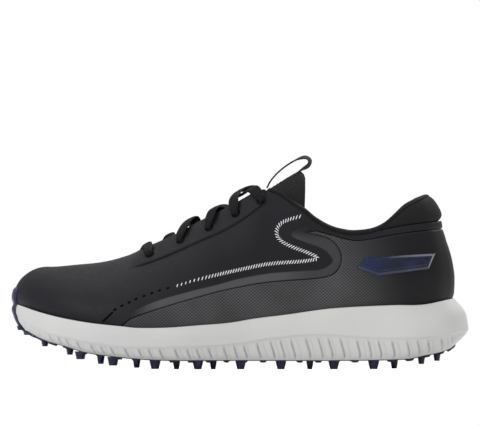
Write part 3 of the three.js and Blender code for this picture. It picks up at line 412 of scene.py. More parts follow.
class Sheet:
    """Piece of the upper's surface on its own grid, which curves drawn in side view can trim."""

    def __init__(self, *grids):
        us, vs, faces, start = [], [], [], 0
        for u, v in grids:
            uu, vv = np.meshgrid(u, v, indexing="ij")
            rows, columns = uu.shape
            index = start + np.arange(rows * columns).reshape(rows, columns)
            a, b, c, d = index[:-1, :-1], index[1:, :-1], index[1:, 1:], index[:-1, 1:]
            faces.append(np.stack([a, b, c], -1).reshape(-1, 3))
            faces.append(np.stack([a, c, d], -1).reshape(-1, 3))
            us.append(uu.ravel())
            vs.append(vv.ravel())
            start += rows * columns
        self.u, self.v = np.concatenate(us), np.concatenate(vs)
        self.faces = np.concatenate(faces)
        self.weld()

    def base(self):
        return form_point(self.u, self.v)

    def weld(self):
        """Joins the two sides of the toe where they meet on its ridge."""
        keys = np.round(self.base() * 500).astype(np.int64)
        _, first, back = np.unique(keys, axis=0, return_index=True, return_inverse=True)
        self.u, self.v = self.u[first], self.v[first]
        self.faces = back.ravel()[self.faces]
        a, b, c = self.faces.T
        self.faces = self.faces[(a != b) & (b != c) & (c != a)]

    def split(self, field, level=0.0):
        """Lays an edge loop along the line where the field has this level."""
        values = field(self.base()) - level
        values[np.abs(values) < 1e-3] = 1e-3
        inside = values > 0
        count = inside[self.faces].sum(1)
        mixed = (count == 1) | (count == 2)
        crossings, new_u, new_v, new_faces = {}, [], [], []

        def crossing(p, q):
            key = (min(p, q), max(p, q))
            if key not in crossings:
                crossings[key] = len(self.u) + len(new_u)
                share = values[key[0]] / (values[key[0]] - values[key[1]])
                new_u.append(self.u[key[0]] + share * (self.u[key[1]] - self.u[key[0]]))
                new_v.append(self.v[key[0]] + share * (self.v[key[1]] - self.v[key[0]]))
            return crossings[key]

        for face in self.faces[mixed].tolist():
            for wanted in (True, False):
                polygon = []
                for k in range(3):
                    p, q = face[k], face[(k + 1) % 3]
                    if inside[p] == wanted:
                        polygon.append(p)
                    if inside[p] != inside[q]:
                        polygon.append(crossing(p, q))
                for k in range(1, len(polygon) - 1):
                    new_faces.append((polygon[0], polygon[k], polygon[k + 1]))
        if new_faces:
            self.u, self.v = np.append(self.u, new_u), np.append(self.v, new_v)
            self.faces = np.concatenate([self.faces[~mixed], np.array(new_faces)])

    def trim(self, field, *loops):
        """Keeps the part where the field is above 0, with edge loops at further levels."""
        for level in (0.0, *loops):
            self.split(field, level)
        values = field(self.base())
        self.faces = self.faces[values[self.faces].mean(1) > 0]
        used = np.unique(self.faces)
        renumber = np.full(len(self.u), -1)
        renumber[used] = np.arange(len(used))
        self.u, self.v, self.faces = self.u[used], self.v[used], renumber[self.faces]

    def solid(self, name, outer, inner, layers=None):
        """Closed piece between two distances from the form, each one value or one per point."""
        base, normal = self.base(), form_normal(self.u, self.v)
        count = len(self.u)
        points = np.concatenate([base + normal * np.broadcast_to(outer, count)[:, None],
                                 base + normal * np.broadcast_to(inner, count)[:, None]])
        edges = np.concatenate([self.faces[:, [0, 1]], self.faces[:, [1, 2]], self.faces[:, [2, 0]]])
        codes = edges[:, 0] * count + edges[:, 1]
        rim = edges[~np.isin(codes, edges[:, 1] * count + edges[:, 0])]
        walls = np.stack([rim[:, 1], rim[:, 0], rim[:, 0] + count, rim[:, 1] + count], -1)
        faces = self.faces.tolist() + (self.faces[:, ::-1] + count).tolist() + walls.tolist()
        uv = np.tile(surface_uv(base, self.u), (2, 1))
        doubled = {key: np.tile(np.asarray(values), 2) for key, values in (layers or {}).items()}
        return make_object(name, points, faces, uv, doubled)


def surface_uv(base, u):
    """Distance round the shoe and height, both in metres, so that weaves keep their size."""
    run = np.interp(np.asarray(u) % (2 * SPANS), U_FINE, ARC_LENGTH)
    return np.stack([run * MM, base[:, 2] * MM], -1)


def line_distance(points, line):
    """Distance in side view from each point to an open line."""
    px, pz = points[:, 0], points[:, 2]
    best = np.full(len(points), 1e9)
    for (ax, az), (bx, bz) in zip(line[:-1], line[1:]):
        dx, dz = bx - ax, bz - az
        t = np.clip(((px - ax) * dx + (pz - az) * dz) / (dx * dx + dz * dz), 0, 1)
        best = np.minimum(best, np.hypot(px - ax - t * dx, pz - az - t * dz))
    return best


def inside_outline(points, outline):
    """Signed side-view distance to a closed outline, above 0 inside."""
    outline = np.asarray(outline, float)
    closed = np.vstack([outline, outline[:1]])
    distance = line_distance(points, closed)
    px, pz = points[:, 0], points[:, 2]
    inside = np.zeros(len(points), bool)
    for (ax, az), (bx, bz) in zip(closed[:-1], closed[1:]):
        if az == bz:
            continue
        crosses = (az > pz) != (bz > pz)
        inside ^= crosses & (px < (bx - ax) * (pz - az) / (bz - az) + ax)
    return np.where(inside, distance, -distance)


def curve_through(stops, counts):
    """Smooth open curve through the stops, with this many steps in each span."""
    stops = [np.array(stop, float) for stop in stops]
    padded = [2 * stops[0] - stops[1], *stops, 2 * stops[-1] - stops[-2]]
    rows = []
    for i, count in enumerate(counts):
        p0, p1, p2, p3 = padded[i:i + 4]
        for t in np.arange(count) / count:
            rows.append(0.5 * (2 * p1 + (p2 - p0) * t + (2 * p0 - 5 * p1 + 4 * p2 - p3) * t**2
                               + (3 * p1 - p0 - 3 * p2 + p3) * t**3))
    return rows + [stops[-1]]


def rounded(line, steps=8):
    return np.array(curve_through(line, [steps] * (len(line) - 1)))


def rolled(distance, width, depth):
    """How far an edge curls down at this distance from it."""
    share = 1 - np.clip(np.asarray(distance, float) / width, 0, 1)
    return depth * (1 - np.sqrt(1 - share**2))


def place_on_upper(xs, zs, side):
    """Points and normals of the upper's surface at these side-view positions."""
    xs, zs = np.atleast_1d(np.asarray(xs, float)), np.atleast_1d(np.asarray(zs, float))
    uu, vv = np.meshgrid(np.linspace(1, SPANS, 180), np.linspace(CUP_EDGE, 1, 60), indexing="ij")
    if side > 0:
        uu = 2 * SPANS - uu
    uu, vv = uu.ravel(), vv.ravel()
    table = form_point(uu, vv)
    u, v = np.zeros(len(xs)), np.zeros(len(xs))
    for k, (x, z) in enumerate(zip(xs, zs)):
        nearest = np.argmin((table[:, 0] - x)**2 + (table[:, 2] - z)**2)
        u[k], v[k] = uu[nearest], vv[nearest]
    step = 1e-3
    for _ in range(5):
        here = form_point(u, v)
        by_u = (form_point(u + step, v) - here) / step
        by_v = (here - form_point(u, v - step)) / step
        miss_x, miss_z = xs - here[:, 0], zs - here[:, 2]
        area = by_u[:, 0] * by_v[:, 2] - by_u[:, 2] * by_v[:, 0]
        area = np.where(np.abs(area) < 1, 1, area)
        u = u + np.clip((miss_x * by_v[:, 2] - miss_z * by_v[:, 0]) / area, -0.2, 0.2)
        v = v + np.clip((miss_z * by_u[:, 0] - miss_x * by_u[:, 2]) / area, -0.1, 0.1)
        v = np.clip(v, CUP_EDGE, 1)
    return form_point(u, v), form_normal(u, v)


# ------------------------------------------------------------ finishes


class Finish:
    """A material under construction: nodes are added and linked to its one shader."""

    def __init__(self, name, roughness=0.6, **constants):
        self.material = bpy.data.materials.new(name)
        self.material.use_nodes = True
        self.tree = self.material.node_tree
        self.shader = self.tree.nodes["Principled BSDF"]
        self.shader.inputs["Roughness"].default_value = roughness
        for socket, value in constants.items():
            self.shader.inputs[socket.replace("_", " ")].default_value = value

    def node(self, kind, inputs=None, **settings):
        node = self.tree.nodes.new("ShaderNode" + kind)
        for key, value in settings.items():
            setattr(node, key, value)
        for key, value in (inputs or {}).items():
            socket = node.inputs[key]
            if hasattr(value, "is_output"):
                self.tree.links.new(value, socket)
            else:
                socket.default_value = value
        return node

    def sum(self, operation, *values):
        return self.node("Math", dict(enumerate(values)), operation=operation).outputs[0]

    def place(self, scale=(1000, 1000, 1000), turn=0.0, own_map=False):
        source = self.node("TexCoord").outputs["UV" if own_map else "Object"]
        mapping = self.node("Mapping", {"Vector": source, "Scale": scale, "Rotation": (0, 0, turn)})
        return mapping.outputs[0]

    def noise(self, where, scale, detail=3.0, roughness=0.55):
        inputs = {"Vector": where, "Scale": scale, "Detail": detail, "Roughness": roughness}
        return self.node("TexNoise", inputs).outputs["Fac"]

    def ramp(self, value, low, high, start=0.0, end=1.0):
        node = self.node("ValToRGB", {"Fac": value})
        node.color_ramp.elements[0].position = start
        node.color_ramp.elements[0].color = (*low, 1)
        node.color_ramp.elements[1].position = end
        node.color_ramp.elements[1].color = (*high, 1)
        return node.outputs[0]

    def mix(self, share, first, second):
        """Blend of two colours; the node's colour sockets are its sixth and seventh."""
        return self.node("Mix", {0: share, 6: first, 7: second}, data_type="RGBA").outputs[2]

    def range(self, value, low, high, to_low=0.0, to_high=1.0):
        inputs = {"Value": value, "From Min": low, "From Max": high, "To Min": to_low, "To Max": to_high}
        return self.node("MapRange", inputs).outputs[0]

    def layer(self, name):
        return self.node("Attribute", attribute_name=name).outputs["Fac"]

    def done(self, colour, height=None, depth=0.1, roughness=None):
        """Links colour and relief; depth is the relief's height in millimetres."""
        self.tree.links.new(colour, self.shader.inputs["Base Color"])
        if roughness is not None:
            self.tree.links.new(roughness, self.shader.inputs["Roughness"])
        if height is not None:
            bump = self.node("Bump", {"Height": height, "Distance": depth * MM, "Strength": 1.0})
            self.tree.links.new(bump.outputs[0], self.shader.inputs["Normal"])
        return self.material


def grey(value, blue=1.0):
    return (value, value, value * blue)


def weave_height(finish, where, pitch, turn_share=1.0):
    """Over-and-under relief of crossing threads, pitch in millimetres."""
    parts = finish.node("SeparateXYZ", {"Vector": where})
    along = finish.sum("SINE", finish.sum("MULTIPLY", parts.outputs[0], 2 * math.pi / pitch))
    rate = 2 * math.pi * turn_share / pitch
    across = finish.sum("SINE", finish.sum("MULTIPLY", parts.outputs[1], rate))
    return finish.sum("MULTIPLY", along, across)


def diamond_height(finish, where, wide, tall):
    """Small pillows between two sets of slanted grooves; wide and tall in millimetres."""
    parts = finish.node("SeparateXYZ", {"Vector": where})
    across = finish.sum("MULTIPLY", parts.outputs[0], math.pi / wide)
    up = finish.sum("MULTIPLY", parts.outputs[1], math.pi / tall)
    first = finish.sum("ABSOLUTE", finish.sum("SINE", finish.sum("ADD", across, up)))
    second = finish.sum("ABSOLUTE", finish.sum("SINE", finish.sum("SUBTRACT", across, up)))
    return finish.sum("MULTIPLY", first, second)


def saddle_skin():
    f = Finish("charcoal_skin", 0.5, Specular_IOR_Level=0.12)
    where = f.place()
    grain = f.noise(where, 2.6, 4)
    cloud = f.noise(where, 0.02, 2)
    skin = f.ramp(cloud, grey(0.009, 1.25), grey(0.0135, 1.25), 0.3, 0.7)
    cloth_place = f.place(own_map=True)
    mesh = weave_height(f, cloth_place, 1.1)
    # The paler band's cloth colour is set lighter than the cloth itself: painted highlight along the band.
    cloth = f.ramp(mesh, grey(0.056, 1.05), grey(0.088, 1.05), 0.2, 0.9)
    pale_band_and_highlight = f.layer("pale_band_and_highlight")
    colour = f.mix(pale_band_and_highlight, skin, cloth)
    woven = f.sum("MULTIPLY", mesh, f.sum("MULTIPLY", pale_band_and_highlight, 0.8))
    relief = f.sum("ADD", f.sum("MULTIPLY", grain, 0.5), woven)
    rough = f.range(f.noise(where, 0.3, 3), 0.3, 0.7, 0.44, 0.56)
    return f.done(colour, relief, 0.06, rough)


def quarter_mesh():
    f = Finish("embossed_mesh", 0.55, Specular_IOR_Level=0.16)
    where = f.place(own_map=True)
    pillow = diamond_height(f, where, 2.5, 2.1)
    threads = weave_height(f, where, 0.7)
    # Painted shade: this layer darkens the mesh to near black towards the heel and a little at its front
    # end, where the side faces away from the light; the relief is flattened there too.
    painted_shade = f.layer("painted_shade")
    mixed = f.sum("ADD", f.sum("MULTIPLY", pillow, 0.85), f.sum("MULTIPLY", threads, 0.08))
    cloth = f.ramp(mixed, grey(0.026, 1.05), grey(0.07, 1.05), 0.05, 0.75)
    cloud = f.range(f.noise(f.place(), 0.03, 2), 0.35, 0.65, 0.82, 1.12)
    tone = f.node("VectorMath", {0: cloth}, operation="SCALE")
    f.tree.links.new(cloud, tone.inputs["Scale"])
    colour = f.mix(painted_shade, tone.outputs[0], (*grey(0.0065, 1.2), 1))
    relief = f.sum("MULTIPLY", mixed, f.sum("SUBTRACT", 1.0, f.sum("MULTIPLY", painted_shade, 0.93)))
    return f.done(colour, relief, 0.15)


def foam_shell():
    f = Finish("moulded_foam", 0.62, Specular_IOR_Level=0.35)
    where = f.place()
    skin = f.noise(where, 1.7, 4, 0.6)
    cloud = f.noise(where, 0.015, 2)
    colour = f.ramp(cloud, (0.445, 0.45, 0.445), (0.495, 0.495, 0.485), 0.3, 0.7)
    # Painted shade: the rib layer blends the foam to grey along the grooves of the ribbed wall.
    groove_shade = f.layer("rib")
    shaded = f.mix(groove_shade, colour, (0.29, 0.30, 0.315, 1))
    return f.done(shaded, skin, 0.05)


def navy_rubber():
    f = Finish("navy_rubber", 0.38, Specular_IOR_Level=0.35)
    where = f.place()
    cloud = f.noise(where, 0.12, 3)
    colour = f.ramp(cloud, (0.007, 0.008, 0.034), (0.013, 0.015, 0.056), 0.3, 0.7)
    rough = f.range(f.noise(where, 0.6, 3), 0.3, 0.7, 0.34, 0.5)
    return f.done(colour, f.noise(where, 1.1, 3), 0.05, rough)


def silver_thread():
    f = Finish("silver_thread", 0.42, Specular_IOR_Level=0.5, Sheen_Weight=0.25)
    where = f.place()
    twist = f.node("TexWave", {"Vector": f.place(turn=0.6), "Scale": 1.2, "Distortion": 1.5},
                   wave_type="BANDS")
    colour = f.ramp(f.noise(where, 0.6, 2), (0.55, 0.55, 0.57), (0.78, 0.78, 0.81), 0.3, 0.7)
    return f.done(colour, twist.outputs["Fac"], 0.05)


def knit(name, dark, light, pitch, depth, sheen=0.03):
    """Knitted or woven black cloth with fuzz; pitch of its threads in millimetres."""
    f = Finish(name, 0.85, Specular_IOR_Level=0.14, Sheen_Weight=sheen, Sheen_Roughness=0.5)
    where = f.place(own_map=True)
    threads = weave_height(f, where, pitch, 0.8)
    fuzz = f.noise(f.place(), 1.4, 4)
    mixed = f.sum("ADD", f.sum("MULTIPLY", threads, 0.5), f.sum("MULTIPLY", fuzz, 0.6))
    colour = f.ramp(mixed, dark, light, 0.0, 0.9)
    return f.done(colour, mixed, depth)


def emblem_gloss():
    f = Finish("glossy_navy", 0.2, Specular_IOR_Level=0.4, Metallic=0.3,
               Coat_Weight=0.35, Coat_Roughness=0.08)
    where = f.place()
    flow = f.noise(where, 0.06, 2)
    colour = f.ramp(flow, (0.002, 0.003, 0.012), (0.006, 0.014, 0.06), 0.35, 0.65)
    return f.done(colour, f.noise(where, 0.9, 2), 0.015)


def fibre_board():
    f = Finish("fibre_board", 0.9, Specular_IOR_Level=0.2)
    fibres = f.noise(f.place((1000, 200, 1000)), 1.2, 5)
    return f.done(f.ramp(fibres, (0.55, 0.52, 0.46), (0.72, 0.69, 0.62), 0.3, 0.7), fibres, 0.1)


def open_foam(name, dark, light):
    f = Finish(name, 0.95, Specular_IOR_Level=0.15)
    cells = f.node("TexVoronoi", {"Vector": f.place(), "Scale": 1.1}).outputs["Distance"]
    return f.done(f.ramp(cells, dark, light, 0.0, 0.8), cells, 0.25)


def hole_shadow():
    # Near-black for the punched holes: partly the dark lining behind them, partly painted shade inside the
    # holes; the noise only varies the tone and the bump.
    f = Finish("punched_hole_shadow", 0.95, Specular_IOR_Level=0.05)
    depth = f.noise(f.place(), 0.8, 2)
    return f.done(f.ramp(depth, grey(0.001), grey(0.003), 0.3, 0.7), depth, 0.05)


def clear_tip():
    f = Finish("clear_coated_tip", 0.2, Specular_IOR_Level=0.5, Coat_Weight=0.8, Coat_Roughness=0.08)
    rings = f.noise(f.place(), 0.8, 2)
    return f.done(f.ramp(rings, grey(0.008), grey(0.02), 0.3, 0.7), rings, 0.03)


def pale_floor():
    f = Finish("pale_floor", 0.8, Specular_IOR_Level=0.2)
    cloud = f.noise(f.place((1, 1, 1)), 3.0, 2)
    return f.done(f.ramp(cloud, grey(0.9), grey(0.92), 0.3, 0.7), cloud, 0.02)


SADDLE_SKIN = saddle_skin()
QUARTER_MESH = quarter_mesh()
FOAM_SHELL = foam_shell()
NAVY_RUBBER = navy_rubber()
SILVER_THREAD = silver_thread()
TAB_KNIT = knit("tab_knit", grey(0.005, 1.1), grey(0.019, 1.1), 1.0, 0.12, 0.015)
LINING_CLOTH = knit("lining_cloth", grey(0.006), grey(0.022, 1.05), 1.6, 0.2)
COLLAR_KNIT = knit("collar_knit", grey(0.003), grey(0.013, 1.05), 1.0, 0.15, 0.01)
TONGUE_KNIT = knit("tongue_knit", grey(0.006), grey(0.03, 1.05), 1.3, 0.25)
INSOLE_CLOTH = knit("insole_cloth", grey(0.012), grey(0.05, 1.05), 1.0, 0.12)
LOOP_WEBBING = knit("loop_webbing", grey(0.006), grey(0.03), 1.2, 0.2)
LACE_WEAVE = knit("lace_weave", grey(0.002), grey(0.015), 0.9, 0.2, 0.01)
EMBLEM_GLOSS = emblem_gloss()
FIBRE_BOARD = fibre_board()
PADDING_FOAM = open_foam("padding_foam", grey(0.04), grey(0.12))
INSOLE_FOAM = open_foam("insole_foam", grey(0.02), grey(0.07))
CLEAR_TIP = clear_tip()
HOLE_SHADOW = hole_shadow()
FLOOR_FINISH = pale_floor()

# ------------------------------------------------------------ the upper

QUARTER_OUTLINE = np.vstack([
    rounded(SADDLE_EDGE), rounded(UNDER_COLLAR), [(170, 93.6), (170, 0), (SADDLE_EDGE[0][0] - 4, 0)],
])
TAB_OUTLINE = np.vstack([
    [(64, 104.6)], rounded(HEEL_TAB_SEAM), [(170, 98.9), (170, 300), (64, 300)],
])
EYESTAY_OUTLINE = np.vstack([rounded(EYESTAY_EDGE), [(17, 300), (EYESTAY_EDGE[0][0], 300)]])
PALE_OUTLINE = np.vstack([rounded(SADDLE_EDGE[1:]), rounded(PALE_BAND)[::-1]])
SEAM_GAP = 0.25
LOOPS = (0.35, 0.8, 1.4)

EYELET_SPOTS = {side: place_on_upper(*np.array(EYELETS).T, side) for side in (-1, 1)}


def in_quarter(point):
    return inside_outline(point, QUARTER_OUTLINE)


def in_tab(point):
    return inside_outline(point, TAB_OUTLINE)


def in_eyestay(point):
    return inside_outline(point, EYESTAY_OUTLINE)


def clear_of_eyelets(point):
    best = np.full(len(point), 50.0)
    for points, _ in EYELET_SPOTS.values():
        for spot in points:
            best = np.minimum(best, np.linalg.norm(point - spot, axis=1) - EYELET_RADIUS + 0.1)
    return best


TOE_FULLNESS = ((30, 40, 50, 58, 66, 71), (0, 2.2, 3.1, 2.4, 1.1, 0))
HEEL_FULLNESS = ((40, 50, 62, 75, 84, 92, 100, 110, 118), (0.4, 2.3, 2.2, 1.3, 0.6, 0.8, 3.1, 3.0, 1.9))


def fullness(u, height):
    """Extra roundness of the outer skin at the toe tip and down the back of the heel."""
    from_toe = np.minimum(u, 2 * SPANS - u)
    toe = np.exp(-(from_toe / 1.7)**2) * np.interp(height, *TOE_FULLNESS)
    return toe + np.exp(-((u - SPANS) / 1.4)**2) * np.interp(height, *HEEL_FULLNESS)


def throat_depth(u, v):
    """Rough distance down from the free edge of the throat; far from it on the toe's ridge."""
    return np.where(on_ridge(u), 60.0, (1 - v) * WALL_HEIGHT)


V_UPPER = np.concatenate([np.linspace(0, CUP_EDGE, 4)[:-1], np.linspace(CUP_EDGE, 0.97, 60),
                          [0.98, 0.988, 0.994, 1.0]])


def make_saddle():
    """Smooth skin over the toe, the instep and the sides, with the paler printed band along its edge, whose
    colour also carries a painted highlight.
    """
    sheet = Sheet((np.linspace(0, 2 * SPANS, 561), V_UPPER))
    sheet.trim(lambda p: -in_quarter(p), *LOOPS)
    sheet.trim(lambda p: -in_tab(p) - 0.3, *LOOPS)
    sheet.trim(clear_of_eyelets)
    sheet.split(lambda p: inside_outline(p, PALE_OUTLINE), 0.0)
    sheet.split(lambda p: inside_outline(p, PALE_OUTLINE), 0.7)
    base = sheet.base()
    seam = np.minimum(-in_quarter(base), -in_tab(base) - 0.3)
    pale_band_and_highlight = smooth_step(inside_outline(base, PALE_OUTLINE), 0, 0.7)
    pale_band_and_highlight *= np.where(np.abs(base[:, 1]) > 6, 1, 0) * smooth_step(base[:, 0], -75, -50)
    outer = -rolled(seam, 1.4, 0.85) - rolled(throat_depth(sheet.u, sheet.v), 1.2, 0.5) - 0.28 * pale_band_and_highlight
    outer = outer + fullness(sheet.u, base[:, 2])
    # Painted highlight: the band's lighter colour is halved towards the heel and fades out near the collar.
    pale_band_and_highlight *= (1 - 0.5 * smooth_step(base[:, 0], 20, 50)) * (1 - smooth_step(base[:, 2], 84, 93))
    piece = sheet.solid("vamp_saddle_skin", outer, -SKIN_THICKNESS, {"pale_band_and_highlight": pale_band_and_highlight})
    return dress(piece, SADDLE_SKIN, "saddle_skin", "vamp_saddle")


def make_quarter(name, side):
    """Printed mesh over one side of the heel, butted against the smooth skin."""
    u = np.linspace(3.2, SPANS, 400)
    if side > 0:
        u = (2 * SPANS - u)[::-1]
    sheet = Sheet((u, np.concatenate([np.linspace(0, CUP_EDGE, 4)[:-1], np.linspace(CUP_EDGE, 0.93, 66)])))
    sheet.trim(lambda p: in_quarter(p) - SEAM_GAP, *LOOPS)
    sheet.trim(lambda p: side * p[:, 1] - 0.15, 0.5, 1.0)
    base = sheet.base()
    seam = np.minimum(in_quarter(base) - SEAM_GAP, side * base[:, 1] - 0.15)
    # Painted shade: darker towards the back of the heel and slightly darker at the front end of the
    # quarter.
    painted_shade = smooth_step(base[:, 0] + 0.25 * (base[:, 2] - 60), 66, 112)
    painted_shade = np.maximum(painted_shade, 0.3 * smooth_step(base[:, 0] + 0.5 * base[:, 2], -14, -34))
    outer = fullness(sheet.u, base[:, 2]) - rolled(seam, 1.4, 0.8)
    piece = sheet.solid(name, outer, -SKIN_THICKNESS, {"painted_shade": painted_shade})
    return dress(piece, QUARTER_MESH, "quarter_mesh", name.replace("_skin", ""))


def make_eyestay():
    """Reinforcement round the throat, thinned to nothing at its toe end and stitched along its edge."""
    v = np.concatenate([np.linspace(0.5, 0.975, 70), [0.982, 0.988, 0.994, 1.0]])
    sheet = Sheet((np.linspace(4, 8.1, 260), v), (np.linspace(2 * SPANS - 8.1, 2 * SPANS - 4, 260), v))
    sheet.trim(in_eyestay, *LOOPS)
    sheet.trim(clear_of_eyelets, 0.5, 1.0)
    base = sheet.base()
    edge = in_eyestay(base)
    holes = clear_of_eyelets(base)
    height = FIT_GAP + OVERLAY_THICKNESS - rolled(edge, 1.3, 1.0)
    height = height - rolled(throat_depth(sheet.u, sheet.v), 1.2, 0.6)
    height = height - rolled(holes, 1.1, 0.5) + 0.25 * np.exp(-((holes - 1.6) / 0.8)**2)
    line = 0.16 * np.exp(-((edge - 2.4) / 0.35)**2)
    height = 0.03 + (height - line - 0.03) * smooth_step(base[:, 0], -73.4, -63)
    piece = sheet.solid("eyestay_skin", height, -0.02, {"pale_band_and_highlight": np.zeros(len(sheet.u))})
    return dress(piece, SADDLE_SKIN, "saddle_skin", "eyestay")


def make_heel_tab():
    """Padded tab at the back of the collar, puffed between its seam and its free edge."""
    v = np.concatenate([np.linspace(0.5, 0.975, 60), [0.985, 0.993, 1.0]])
    sheet = Sheet((np.linspace(9.6, 2 * SPANS - 9.6, 420), v))
    sheet.trim(in_tab, 0.3, 0.7, 1.3, 2.0)
    base = sheet.base()
    edge = np.minimum(in_tab(base), 60.0)
    down = (1 - sheet.v) * WALL_HEIGHT
    puff = 1.5 * (1 - np.exp(-edge / 2.5)) * (1 - np.exp(-down / 3.0))
    full = fullness(sheet.u, base[:, 2]) * (1 - np.exp(-edge / 1.2))
    outer = 0.35 + puff + full - rolled(edge, 1.2, 0.9)
    depth = -(SKIN_THICKNESS + FIT_GAP) - np.maximum(padding_space(sheet.v, base[:, 0]) - FIT_GAP, 0.3)
    piece = sheet.solid("heel_tab_pad", outer, depth)
    return dress(piece, TAB_KNIT, "tab_fabric", "heel_tab")


def make_lining():
    """Cloth inside the shoe, behind the padding and the stiffeners."""
    v = np.concatenate([np.linspace(0, CUP_EDGE, 3)[:-1], np.linspace(CUP_EDGE, 1.0, 50)])
    sheet = Sheet((np.linspace(0, 2 * SPANS, 401), v))
    sheet.trim(clear_of_eyelets)
    base = sheet.base()
    outer = -(SKIN_THICKNESS + FIT_GAP) - padding_space(sheet.v, base[:, 0])
    piece = sheet.solid("lining_cloth", outer, outer - LINING_THICKNESS)
    return dress(piece, LINING_CLOTH, "lining_fabric", "lining")


def make_collar_binding():
    """Rolled edge swept round the collar from throat to throat."""
    u = np.linspace(THROAT_TOP, 2 * SPANS - THROAT_TOP, 380)
    one = np.ones_like(u)
    rim, normal = form_point(u, one), form_normal(u, one)
    up = rim - form_point(u, 0.94 * one)
    up -= normal * (up * normal).sum(1, keepdims=True)
    up = unit(up)
    full = fullness(u, rim[:, 2])
    rim = rim + normal * full[:, None]
    depth = SKIN_THICKNESS + FIT_GAP + padding_space(one, rim[:, 0]) + LINING_THICKNESS + full
    end = np.minimum(np.arange(len(u)), np.arange(len(u))[::-1])
    closing = np.sqrt(1 - (1 - np.clip(end / 4, 0, 1))**2)
    sections = []
    for t in girth(24):
        across, rise = math.cos(t), math.sin(t)
        high = (BINDING_HEIGHT + 0.2) * closing if rise > 0 else 1.2 * closing
        width = (depth / 2 + 0.5) * (0.4 + 0.6 * closing)
        spot = rim + normal * (-depth / 2 + 0.1 + across * width)[:, None]
        sections.append(spot + up * (rise * high + 0.1)[:, None])
    piece = swept_piece("collar_binding_roll", sections, path_length(rim), np.linspace(0, 18, 24)[None])
    return dress(piece, COLLAR_KNIT, "collar_knit", "collar_binding")


def make_emblem(name, side):
    """Bevelled glossy badge at one side of the heel."""
    lateral = np.linspace(9.6, 12.2, 240)
    u = lateral if side < 0 else (2 * SPANS - lateral)[::-1]
    sheet = Sheet((u, np.linspace(0.2, 0.8, 130)))
    sheet.trim(lambda p: inside_outline(p, BADGE), 0.3, 0.9, 1.5, 2.6, 3.1)
    base = sheet.base()
    edge = inside_outline(base, BADGE)
    height = FIT_GAP + 0.15 + 1.25 * np.clip(edge / 1.5, 0, 1) - 0.7 * smooth_step(edge, 2.6, 3.1)
    full = fullness(sheet.u, base[:, 2])
    piece = sheet.solid(name, height + full, 0.02 + full)
    finish_with(piece, "EDGE_SPLIT", split_angle=math.radians(22))
    return dress(piece, EMBLEM_GLOSS, "emblem_gloss", name.replace("_badge", ""))


def make_perforations(name, side):
    """Slit and row of punched dots in front of the embroidery, each a shallow near-black cup: the dark
    lining through the hole and painted shade inside it.
    """
    spots = [(x, z, 1.3, 0.85) for x, z in PERFORATIONS]
    spots += [(x, z, 0.85, 0.75) for x, z in rounded(SLOT, 14)]
    table = np.array(spots)
    points, normals = place_on_upper(table[:, 0], table[:, 1], side)
    corners, faces = [], []
    for point, normal, long, short in zip(points, normals, table[:, 2], table[:, 3]):
        along = np.array([0.85, 0, 0.5]) - normal * (0.85 * normal[0] + 0.5 * normal[2])
        along = unit(along)
        across = np.cross(normal, along)
        start = len(corners)
        for reach, height in ((1.0, 0.02), (0.85, 0.12), (0.6, 0.05)):
            for t in girth(12):
                spread = along * long * math.cos(t) + across * short * math.sin(t)
                corners.append(point + normal * height + reach * spread)
        for row in range(2):
            for k in range(12):
                a, b = start + row * 12 + k, start + row * 12 + (k + 1) % 12
                faces.append((a, b, b + 12, a + 12))
        faces.append(tuple(start + 24 + k for k in range(12)))
        faces.append(tuple(start + k for k in range(12))[::-1])
    piece = make_object(name, corners, faces, np.zeros((len(corners), 2)))
    return dress(piece, HOLE_SHADOW, "saddle_skin")


STITCH_PITCH = 1.72
STITCH_LEAN = 0.6
STITCH_HALF = 1.55
THREAD_HALF = 0.33


def make_stitching(name, side):
    """Embroidered line: slanted satin stitches, sparse at the toe end and dense behind."""
    line = rounded(STITCH_LINE, 40)
    run = path_length(line)
    places, place = [], 0.0
    while place < run[-1]:
        places.append(place)
        opening = 1 - smooth_step(place, 8, 30)
        closing = smooth_step(place, run[-1] - 12, run[-1])
        place += STITCH_PITCH + 1.2 * opening + 0.8 * closing
    places = np.array(places)
    x, z = np.interp(places, run, line[:, 0]), np.interp(places, run, line[:, 1])
    points, normals = place_on_upper(x, z, side)
    ahead = np.gradient(points, axis=0)
    ahead = unit(ahead)
    across = np.cross(normals, ahead)
    corners, faces, uv = [], [], []
    for k in range(len(points)):
        way = across[k] * math.cos(STITCH_LEAN) + ahead[k] * math.sin(STITCH_LEAN)
        beside = np.cross(normals[k], way)
        half = STITCH_HALF * (0.7 + 0.3 * smooth_step(places[k], 4, 24))
        start = len(corners)
        for t in (-1, -0.8, -0.3, 0.3, 0.8, 1):
            lift = FIT_GAP * 0.3 + 0.42 * math.sqrt(max(1 - t**4, 0))
            thick = THREAD_HALF * math.sqrt(max(1 - abs(t)**5, 0.05))
            centre = points[k] + way * (t * half)
            for turn in range(6):
                angle = turn * math.pi / 3
                side_step = beside * (thick * math.cos(angle))
                corners.append(centre + side_step + normals[k] * (lift * (0.55 + 0.45 * math.sin(angle))))
                uv.append((t * half * MM, angle * MM))
        for row in range(5):
            for turn in range(6):
                a, b = start + row * 6 + turn, start + row * 6 + (turn + 1) % 6
                faces.append((a, b, b + 6, a + 6))
        faces.append(tuple(start + turn for turn in range(6))[::-1])
        faces.append(tuple(start + 30 + turn for turn in range(6)))
    piece = make_object(name, corners, faces, np.array(uv))
    outward_faces(piece)
    return dress(piece, SILVER_THREAD, "stitch_thread", name.replace("_threads", ""))


# ------------------------------------------------------------ the sole

